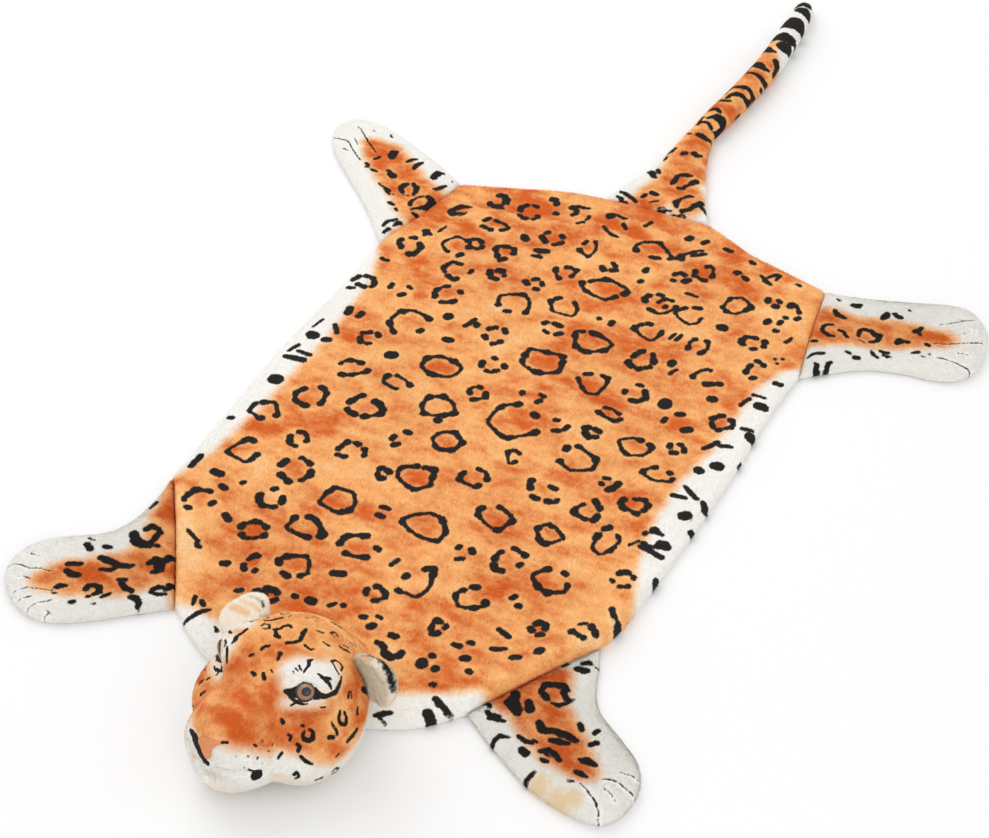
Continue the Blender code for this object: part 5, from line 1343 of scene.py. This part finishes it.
# the head: marks by longitude from the nose to the animal's left, latitude, half width in mm
headLook = {
    "spots": (
        (-133.9, 62.8, 1.2, -144, 61.7, 1.4, -150.4, 57.7, 1.4, -155.7, 56.8, 1.7, -162.2, 59.3, 1),
        (-137.4, 64.2, 1.3, -137.4, 70, 2, -148.2, 72.3, 1.3),
        (179.9, 55, 1.5, 175.8, 60.4, 1.8, 168.5, 65, 1.5),
        (-176.9, 75.6, 1.7, 169.8, 72.4, 1.5, 165.3, 66.8, 1.3),
        (-116.7, 56.8, 0.8, -122, 54, 0.9, -127.8, 55.8, 0.9, -128, 60.1, 0.8, -121, 61.8, 0.8, -117.3,
         60.3, 0.8), (-123.1, 44.5, 0.6, -127.4, 42, 0.7, -131.3, 34.5, 0.5),
        (-141.9, 38.7, 0.7, -146, 36.3, 0.9, -148.7, 33.2, 0.7), (-150, 43.5, 0.7, -152.3, 39, 0.5),
        (-165.2, 41.6, 0.8, -167.9, 41, 0.8), (-168.1, 33.9, 0.7, -172.4, 33.6, 0.8),
        (-166.6, 24.9, 0.5, -170.9, 26.9, 0.4), (-175.1, 40.6, 0.5, -177.8, 39.8, 0.5),
        (178.4, 28.2, 0.8, 177.7, 22.9, 0.8), (177.2, 26.6, 0.8, 170.9, 25.3, 0.8),
        (175, 24.8, 0.8, 171.2, 20.9, 1), (170.6, 49.3, 0.7, 165.6, 46.4, 1),
        (164.3, 40.8, 0.8, 165.4, 36.6, 0.9, 159.2, 36.2, 0.8), (163, 41.5, 0.5, 159.6, 39.5, 0.7),
        (152.7, 50.6, 0.7, 147, 46.9, 1.1), (157.5, 28.8, 0.6, 153.6, 25.7, 0.7),
        (156.8, 23.1, 0.5, 153.7, 21.5, 0.5), (163.1, 13, 0.5, 155.3, 14.1, 0.5),
        (148.3, 38.8, 0.8, 145, 35.3, 1, 144, 30.3, 0.8), (150.4, 35, 0.6, 148.5, 31.2, 0.7),
        (152.9, 65.8, 0.9, 144.7, 64.3, 1.1, 139.5, 61.7, 1, 141.6, 59.6, 0.7),
        (-74.4, 75.5, 1.1, -91.5, 76.9, 1.3, -109.5, 78.9, 0.8),
        (60.9, 85.5, 1.3, 123.8, 86.7, 1.5, -179.2, 86.4, 1), (-53.5, 67.3, 1, -55.7, 69.8, 1.1),
        (-19.6, 63.7, 1.2, -10.3, 64.2, 1.5), (3.4, 69.6, 1.3, 14.1, 66.5, 1.5),
        (22.1, 75.1, 0.7, 30.8, 73.3, 0.7), (44.4, 31.7, 1.1, 46, 27.7, 1.5), (62.5, 21.6, 1, 64, 20.3, 1),
        (63.3, 16.9, 1.2, 61, 14.9, 1.3, 61.1, 12.6, 1.5, 64.2, 10.8, 1.7, 67.8, 11.7, 1.5, 69.8, 14.7, 1.2,
         67.8, 17.2, 1), (49.2, 18, 0.9, 51.5, 16.1, 1.2, 50.1, 13.9, 1),
        (85.5, 16.3, 0.7, 85.6, 11.6, 1, 84.6, 7.8, 1), (78.5, 8.8, 1.7, 80.9, 7.4, 1.8),
        (95.8, 19.3, 1, 92.3, 16.3, 1.3, 91, 11.4, 1.5, 93.2, 8.9, 1.3, 97.1, 11.8, 1.2, 98.2, 16.4, 1),
        (111.7, 23.5, 1, 107.3, 21.7, 1.1), (113.2, 21.9, 0.8, 110.3, 18.7, 0.8),
        (109.2, 9.7, 1.3, 106.5, 6.8, 1.6), (100.6, -1, 1.7, 94.2, -0.9, 1.8, 88.7, -1.1, 1.2),
        (123, 13.6, 2, 125.7, 7.9, 2.4), (54.9, 10.8, 1.3, 56.5, 9, 1.6, 54.5, 7, 1.2),
        (55.6, 3.7, 1.3, 57.6, 1.1, 1.5, 61.5, -1.6, 1.1),
        (49.4, -7.9, 1.2, 51.5, -5.6, 1.2, 52.3, -9.8, 1.2, 50.4, -11.2, 1),
        (77.6, -4.3, 0.7, 80.2, -3.8, 0.7),
        (73.6, -15.5, 1, 75.8, -12.9, 1.1, 79.2, -16.8, 1, 77.5, -19.2, 1, 74.5, -19, 0.9),
        (62.7, -17, 1.3, 66, -16.5, 1.7), (27.9, 1.2, 4.1, 28.4, 0.2, 4.4), (24.4, 5.4, 1, 26, 3.9, 1.3),
        (40.2, 4.7, 1, 42.4, 7.9, 1.2), (26, 18.7, 1, 26.6, 18.3, 1), (29.9, 20, 0.7, 30.3, 19.4, 0.7),
        (36.5, 15.2, 0.7, 36.8, 14.4, 0.7), (34, 12.7, 0.7, 34.3, 12, 0.7),
        (28, 11.2, 0.7, 28.3, 11.1, 0.7), (23.1, 12.7, 0.6, 23.4, 12.7, 0.6),
        (21.8, 6.8, 0.6, 22, 6.8, 0.6), (30.9, 7.3, 0.6, 30.9, 7.3, 0.6),
        (16.8, 12.7, 0.5, 16.8, 12.7, 0.5), (-60.6, 4.8, 1.5, -61.4, 7.2, 1.5),
        (-60.8, 10.2, 1.1, -61.1, 11.6, 1.1), (-75.2, 5, 0.8, -71.6, 5.3, 0.8),
    ),
    "face": (
        (51.9, 55.1, 0.8, 59.2, 54.2, 1.1, 66.5, 54, 1.2, 73.3, 53.4, 1.1, 78.4, 52.3, 0.8),
        (81.9, 48.8, 1.1, 82.6, 44.9, 2.1, 84.1, 41.4, 2.1, 87.5, 38.7, 1.9, 92.3, 37, 1.7, 98.2, 35.4, 2.1,
         105, 35.7, 1.8, 112.2, 35.7, 1.2, 116.4, 36.1, 0.7),
        (52.8, 53.8, 1.1, 58.2, 52, 2.5, 62, 50.5, 2.9), (80, 42.9, 2.1, 81.2, 41.6, 2, 77.4, 41.8, 0.7),
        (57.1, 49.2, 1.1, 60.9, 45.4, 1.3, 66.5, 42.1, 1.1),
        (97.3, 53, 0.8, 97.3, 49.8, 1.7, 97.2, 46.4, 2.1, 97, 42.4, 1.6, 95.9, 40.5, 1),
        (100.4, 46.8, 1.3, 102.8, 44.5, 1.2),
        (118, 60.3, 0.8, 112.2, 62.8, 1.5, 103.7, 61.5, 1.1, 94.3, 61.4, 1, 86.7, 60.3, 0.6),
        (94.4, 67.2, 0.7, 88.3, 64.1, 0.7), (85.2, 67.1, 0.7, 82.7, 64.1, 0.5),
        (76.7, 66.6, 0.5, 75.4, 64, 0.3), (92.3, 64.1, 0.4, 87, 62.7, 0.3),
        (125.6, 46.7, 1.2, 130.2, 43.3, 0.8, 129.3, 39, 0.9, 126.5, 36.5, 1, 121.2, 37.4, 0.8),
        (125.6, 45.8, 1, 117.7, 42.1, 1.1, 115.4, 38.8, 1),
        (56.2, 42.6, 0.7, 61.4, 43.7, 0.7, 64.6, 41.8, 0.7, 71.4, 40.2, 0.6),
        (81, 33, 0.7, 84.2, 31.4, 0.8),
        (-19.3, 9.4, 1.3, -14.7, 10.8, 2.6, -10.1, 10, 4.1, -6.5, 8.1, 4.3, -3.7, 5.2, 4.1, -1.5, 2.2, 3.3,
         -0.3, -0.1, 1.5), (7.4, 19.3, 0.7, 9.8, 19.6, 1.1),
        (-99.6, 45.7, 0.4, -107.2, 46.4, 0.5, -112.3, 41.7, 0.6), (-111.9, 45.3, 0.9, -110.8, 48.5, 0.9),
        (-97.7, 56.1, 1.3, -88.6, 56.5, 1.3, -81.9, 54.9, 1.4, -76.1, 54.8, 2, -72, 53.2, 0.9),
        (-87.7, 43.8, 1.3, -84.5, 48.3, 1.1), (-76.8, 45.2, 0.8, -72.9, 47.4, 1, -70, 46.7, 0.8),
        (-68, 49.1, 1.2, -59.9, 48.6, 1.7, -52.8, 46.3, 0.9),
        (-82.8, 12.7, 1.4, -79.2, 15.6, 1.9, -63.1, 36.6, 0.8),
    ),
    "white": (
        (-22.5, 8.1, 4.2, -16.1, 6.9, 5.8, -8.6, 4.9, 5.8),
        (74.6, 69.2, 7.4, 90.4, 65.2, 9.9, 99.8, 53.8, 9.9, 112.6, 45.3, 8.3),
        (66.1, 60, 7.4, 86.4, 53.1, 7.4, 97.6, 44.7, 7.4),
        (52.9, 45.9, 1.8, 65.1, 43.4, 2.3, 81.3, 38, 1.8),
        (-20.2, 5.1, 3.7, -16.4, 0.9, 5.8, -15.2, -8.1, 7.5, -8.1, -12.1, 8.3),
        (-7.6, -8.2, 8.3, 7.3, 7.2, 12.3, 19.5, 8.4, 11.4, 31, 4.3, 9),
        (-2.1, -14.5, 10, 15.8, -9.8, 10.7, 30.3, -7.4, 9.9), (9.7, -1.8, 8.2, 30.8, -1.3, 9),
        (38.1, 1.1, 8.2, 53.3, -5.7, 9.9, 68.6, -14.6, 7.5), (39.7, -18.2, 6.7, 64, -19.2, 6.7),
        (-95.7, 45.1, 5.9, -103.4, 49.7, 5.1), (-75.6, 50.7, 4.2, -65.2, 48.1, 3.3, -62.2, 39.6, 2.9),
    ),
    "crease": (
        (0.5, 1.4, 0.8, 9.9, 2.2, 0.8, 20, 3.9, 0.8, 27.9, 1.2, 1.1, 33, 1.7, 0.8),
        (18.1, 55.4, 0.8, 31.8, 38.7, 0.8, 39.4, 20.7, 0.8, 36.5, 7.9, 0.8),
        (51.5, 53.9, 0.8, 67.5, 53.7, 0.8, 79.9, 52.5, 0.8, 83.8, 45, 0.8, 94, 35.8, 0.8),
        (49.9, 47.8, 0.8, 64.7, 42.2, 0.8, 81.1, 37.7, 0.8),
    ),
    # patches of deeper or paler orange by longitude, latitude and reach in mm: partly the plush's own
    # deeper orange on the muzzle, partly painted shade on the shaded cheek and painted highlight on the top
    # and back of the head
    "deep": (
        (26.3, 38.6, 19.7), (17.6, 24.5, 16.3), (-68.3, 21.8, 17), (-30.4, 64.3, 11.6), (38.9, 58.4, 8.2),
        (115.1, 21.9, 11.7), (106.8, 5.5, 10.1), (88.5, 2.2, 16.6), (63.4, 31.8, 16.5), (-56.1, 9.2, 10.2),
        (42.3, 16.1, 9.9), (-18.5, 30.1, 13.2), (-158.1, 37.5, 25.6), (-116.3, 59.5, 16.8),
        (-10.4, 21.8, 11.5), (69.8, 3.1, 11.6), (2.6, 62.2, 6.6), (-7.8, 47.4, 11.5), (-0.1, 41.7, 26.3),
        (76, 27.6, 21.5), (21.8, 24.6, 21.2), (155.1, 44.4, 21.9), (-143.6, 38.9, 25.6),
    ),
    "deepBy": (0.6, 0.45, 0.35, 0.3, 0.35, 0.6, 0.55, 0.4, 0.3, 0.35, 0.3, -0.35, -0.45, -0.3, -0.3,
               -0.5, -0.2, -0.1, 0.4, 0.3, 0.2, -0.35, -0.3),
    "turn": -10.0,
    "side": (0.966, 0.021, 0.257),
    "middle": (0.0158, 0.0760, 0.0480),
    "reach": 0.3,  # from outside the head to its middle
    "pressed": (1.8, 0.9, 1.6, 1.2),  # depth of each crease in mm
    "pressWidth": 3.4,
    "halved": (1.6, 0.9),  # mm beside a mark where the cells are finer
    "uneven": (0.88, 1.12),
    "lidRing": 0.0090,
    "bareEye": (0.007, 0.0105),
}
headMiddle = np.array(headLook["middle"]) - (0, chinY, 0)


def towards(longitude, latitude, side=1):
    # a direction out of the middle of the head, or its match on the other side of the face
    lon, lat = math.radians(longitude), math.radians(latitude)
    way = np.array((math.sin(lon) * math.cos(lat), -math.cos(lon) * math.cos(lat), math.sin(lat)))
    if side < 0:
        way = way - 2 * (way @ faceSide) * faceSide
    c, s = math.cos(math.radians(headLook["turn"])), math.sin(math.radians(headLook["turn"]))
    return np.array((c * way[0] - s * way[1], s * way[0] + c * way[1], way[2]))


faceSide = np.array(headLook["side"])
roundedPoints, roundedFaces = stuffedCopy("head", 1)
headTree = BVHTree.FromPolygons(roundedPoints.tolist(), roundedFaces.tolist())


def onHead(direction):
    start = Vector(headMiddle + direction * headLook["reach"])
    return np.array(headTree.ray_cast(start, Vector(-direction))[0])


def headStrokes(rows, rng, wobble, bold=1.0, more=0.0):
    # lines over the head; what shows on the left is repeated on the side that is not seen
    strokes = []
    for row in rows:
        nodes = np.array(row, float).reshape(-1, 3)
        for side in (1, -1):
            ways = np.array([towards(lon, lat, side) for lon, lat, _ in nodes])
            places = np.array([onHead(way) for way in ways])
            if side < 0:
                seen = (ways * (np.array(view["place"]) - places)).sum(1)
                leftward = ways.mean(0) @ towards(90.0, 0.0)
                if seen.max() > 0.475 or leftward > -0.25:
                    continue
            places = inMm(places)
            line, radii = [places[0]], [nodes[0, 2]]
            for a, b, ra, rb in zip(places[:-1], places[1:], nodes[:-1, 2], nodes[1:, 2]):
                parts = max(1, int(np.linalg.norm(b - a) / 2.0))
                for k in range(1, parts + 1):
                    mixed = a + (b - a) * k / parts
                    out = mixed / 1000 - headMiddle
                    line.append(inMm(onHead(out / np.linalg.norm(out))))
                    radii.append((ra + (rb - ra) * k / parts) * rng.uniform(*headLook["uneven"]))
            line = np.array(line)
            if wobble:
                line = line + rng.normal(0, wobble, line.shape)
            strokes.append((line, np.array(radii) * bold + more))
    return strokes


rng = np.random.default_rng(23)
faceStrokes = headStrokes(headLook["face"], rng, 0.12, 1.2, 0.2)
spotStrokes = headStrokes(headLook["spots"], rng, 0.25, 1.15, 0.25)
whiteStrokes = headStrokes(headLook["white"], rng, 0.0)
creaseStrokes = [headStrokes((row,), rng, 0.0) for row in headLook["crease"]]
deepStrokes = [headStrokes((row,), rng, 0.0) for row in headLook["deep"]]
work = bmesh.new()
bmesh.ops.create_icosphere(work, subdivisions=7, radius=1.0)
directions = np.array([v.co.normalized() for v in work.verts])
headFaces = np.array([[v.index for v in f.verts] for f in work.faces])
work.free()
headPoints = np.array([onHead(d) for d in directions])
for reach, strokes in zip(headLook["halved"], (faceStrokes + spotStrokes, faceStrokes)):
    near = np.abs(markField(inMm(headPoints), strokes)) < reach
    headPoints, headFaces = refined(headPoints, headFaces, near)
out = headPoints - headMiddle
out /= np.linalg.norm(out, axis=1)[:, None]
print("head", len(headFaces))


# the mouth, the side of the muzzle and the lids press in
push = np.zeros(len(headPoints))
for strokes, depth in zip(creaseStrokes, headLook["pressed"]):
    for line, _ in strokes:
        push += ridge(inMm(headPoints), line, headLook["pressWidth"], -depth)
head = newPiece("head_plush", headPoints + out * (push * mm)[:, None], headFaces)
deep = np.full(len(headPoints), 0.34)
# the plush's own deeper muzzle, with painted shade on the shaded cheek and painted highlight on the top and
# back of the head
for strokes, row, amount in zip(deepStrokes, headLook["deep"], headLook["deepBy"]):
    for line, _ in strokes:
        off = np.linalg.norm(inMm(headPoints) - line[0], axis=1) / row[2]
        deep += amount * np.exp(-off ** 2)
# the chin and the underside are pale, and warmer and darker further down: painted shade under the chin
white = markField(inMm(headPoints), whiteStrokes, 30.0)
white = np.minimum(white, (out[:, 2] + 0.18) * 80)
deep = np.maximum(deep, 1.05 * softStep(-out[:, 2], 0.14, 0.25))
seat = np.array([np.mean([v.co[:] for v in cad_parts[name].data.vertices], 0)
                 for name in ("eye_left", "eye_right")])
eyeAway = np.minimum(np.linalg.norm(headPoints - seat[0], axis=1),
                     np.linalg.norm(headPoints - seat[1], axis=1))
faceField = markField(inMm(headPoints), faceStrokes)
mark = np.minimum(faceField, markField(inMm(headPoints), spotStrokes))
mark = np.minimum(mark, inMm(eyeAway - headLook["lidRing"]))
nap = out * 0.2 + np.array((0.10, 0.95, 0.05))
pile = pileAbove(headPoints) * softStep(eyeAway, *headLook["bareEye"])
pile *= 1 - 0.5 * (1 - softStep(faceField, -0.5, 1.0))
dress(head, mark, white, deep, pile, nap, plushFace)
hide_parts("head")
pieces.append(head)

# ears, eyes and nose
earLook = {  # strokes by x, y from the chin, z, half width in mm
    "ear_left": {
        "dark": (
            (82, 116, 95, 2.3, 92, 115, 95, 2.8, 101, 112, 93, 3.2, 107, 108, 87, 3.2, 110, 105, 78, 2.5),
        ),
        "warm": (
            (79, 108, 91, 1, 89, 106, 92, 1.2, 98, 104, 86, 1.2, 104, 102, 76, 1),
            (75, 111, 94, 2.1, 85, 111, 98, 2.1),
        ),
    },
    "ear_right": {
        "dark": (
            (-63, 145, 67, 0.7, -50, 143, 74, 1, -40, 138, 77, 1, -33, 133, 77, 0.7),
            (-33, 126, 74, 0.6, -30, 130, 70, 1),
        ),
        "warm": (
            (-64, 139, 67, 1.9, -51, 136, 72, 2.3, -37, 130, 76, 1.7),
            (-68, 132, 63, 3.5, -50, 127, 70, 3.5),
        ),
    },
}


earShape = {"hollow": 0.0024, "front": (-0.001, 0.004), "rim": (0.35, 1.0), "soft": 0.4}


def earStrokes(rows):
    rows = [np.array(row, float).reshape(-1, 4) for row in rows]
    return [(row[:, :3] - (0, chinY * 1000, 0), row[:, 3]) for row in rows]


for name, look in earLook.items():
    points, faces = stuffedCopy(name, 2)
    middle = points.mean(0)
    ways = np.linalg.eigh(np.cov((points - middle).T))[1]
    thin = ways[:, 0] * np.sign(-ways[1, 0])
    off = points - middle
    flatOff = off - (off @ thin)[:, None] * thin
    reach = np.linalg.norm(flatOff / (np.sqrt(flatOff.var(0).sum()) * 1.35), axis=1)
    # the front of the ear is hollow, with a rolled rim
    press = softStep(off @ thin, *earShape["front"]) * (1 - softStep(reach, *earShape["rim"]))
    points = points - thin * (earShape["hollow"] * press)[:, None]
    dark, warm = earStrokes(look["dark"]), earStrokes(look["warm"])
    ear = newPiece(name + "_plush", points, faces)
    mark = markField(inMm(points), dark) * earShape["soft"]
    white = -9.0 + 12.5 * (1 - softStep(markField(inMm(points), warm, 30.0), -1.0, 4.0))
    comb = points - headMiddle
    comb /= np.linalg.norm(comb, axis=1)[:, None]
    dress(ear, mark, white, np.full(len(points), 0.3), np.ones(len(points)), comb, plushCream)
    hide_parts(name)
    pieces.append(ear)


def eyeMaterial():
    material, tree, shader, where = newMaterial("eyeGlass")
    streaks = noiseNode(tree, where, 1400.0, 3.0)
    ring = added(tree, layerNode(tree, "ring"), streaks, 0.05, -0.025)
    iris = mixNode(tree, streaks, (0.17, 0.068, 0.030), (0.50, 0.25, 0.13))
    # the middle of the pupil is a bluish grey: painted reflection of the white sky
    pupilWithGlint = mixNode(tree, rangeNode(tree, ring, 0.34, 0.42), (0.020, 0.026, 0.036), (0.004, 0.004, 0.005))
    colour = mixNode(tree, rangeNode(tree, ring, 0.45, 0.51), pupilWithGlint, iris)
    # a dark ring round the edge of the dome: painted shadow of the lids
    colour = mixNode(tree, rangeNode(tree, ring, 0.76, 0.86), colour, (0.02, 0.012, 0.008))
    coloured(tree, shader, colour, streaks, 0.05, 0.12)
    shader.inputs["Specular IOR Level"].default_value = 0.35
    shader.inputs["Coat Weight"].default_value = 0.35
    shader.inputs["Coat Roughness"].default_value = 0.03
    return material


def noseMaterial():
    material, tree, shader, where = newMaterial("noseCloth")
    grain = noiseNode(tree, where, 1500.0, 3.0)
    cloudy = noiseNode(tree, where, 160.0, 2.0)
    colour = mixNode(tree, cloudy, (0.76, 0.275, 0.095), (0.62, 0.190, 0.060))
    colour = mixNode(tree, mathNode(tree, "MULTIPLY", grain, 0.3), colour, (0.86, 0.42, 0.22))
    edge = added(tree, layerNode(tree, "mark"), grain, 0.9, -0.45)
    colour = mixNode(tree, rangeNode(tree, edge, 0.25, -0.25), colour, plush["mark"])
    coloured(tree, shader, colour, grain, 0.75, 0.9)
    bumped(tree, shader, grain, 0.0003)
    return material


eyeGlass, noseCloth = eyeMaterial(), noseMaterial()
for name in ("eye_left", "eye_right"):
    points, faces = stuffedCopy(name, 3)
    eye = newPiece(name + "_dome", points, faces)
    middle = points.mean(0)
    axis = middle - headMiddle
    axis /= np.linalg.norm(axis)
    off = points - middle
    off -= (off @ axis)[:, None] * axis
    ring = np.linalg.norm(off, axis=1)
    setShare(eye, "ring", ring / np.quantile(ring, 0.98))
    eye.data.materials.append(eyeGlass)
    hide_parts(name)
    pieces.append(eye)


def faceUnder(points):
    # the distance to the face lines where a point of the nose stands over the head
    ways = points - headMiddle
    ways /= np.linalg.norm(ways, axis=1)[:, None]
    return markField(inMm(np.array([onHead(way) for way in ways])), faceStrokes)


noseHalved = 1.2
points, faces = stuffedCopy("nose", 2)
for _ in range(2):
    points, faces = refined(points, faces, np.abs(faceUnder(points)) < noseHalved)
nose = newPiece("nose_pad", points, faces)
setShare(nose, "mark", faceUnder(points))
nose.data.materials.append(noseCloth)
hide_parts("nose")
pieces.append(nose)

# pile
tufts = {"body": 165000, "tail": 22000, "tail_base": 14000, "head": 80000,
         **dict.fromkeys(legLook, 26000), "ear_left": 9000, "ear_right": 9000}
earPile = {"length": 0.0034, "width": 0.0009, "lift": 0.4, "swing": 0.6}
otherPile = {"head": {"length": 0.0022, "width": 0.0008}, "ear_left": earPile, "ear_right": earPile}
pileSeed = 100
for number, (name, triangles) in enumerate(tufts.items()):
    pieces.append(pilePiece(name + "_pile", bpy.data.objects[name + "_plush"], triangles,
                            pileSeed + number, **otherPile.get(name, {})))

# floor
floorMaterial = bpy.data.materials.new("paleFloor")
floorMaterial.use_nodes = True
floorShader = floorMaterial.node_tree.nodes["Principled BSDF"]
floorShader.inputs["Base Color"].default_value = (0.93, 0.93, 0.93, 1.0)
floorShader.inputs["Roughness"].default_value = 0.9
floorMesh = bpy.data.meshes.new("floor")
floorHalf, floorTop = 6, -0.0003
corners = ((-1, -1), (1, -1), (1, 1), (-1, 1))
floorMesh.from_pydata([(x * floorHalf, y * floorHalf, floorTop) for x, y in corners], [],
                      [(0, 1, 2, 3)])
floor = bpy.data.objects.new("floor", floorMesh)
floorMesh.materials.append(floorMaterial)
scene.collection.objects.link(floor)

for piece in pieces:
    dropLayers(piece.data, ("nap", "pile"))
    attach(piece, "root")
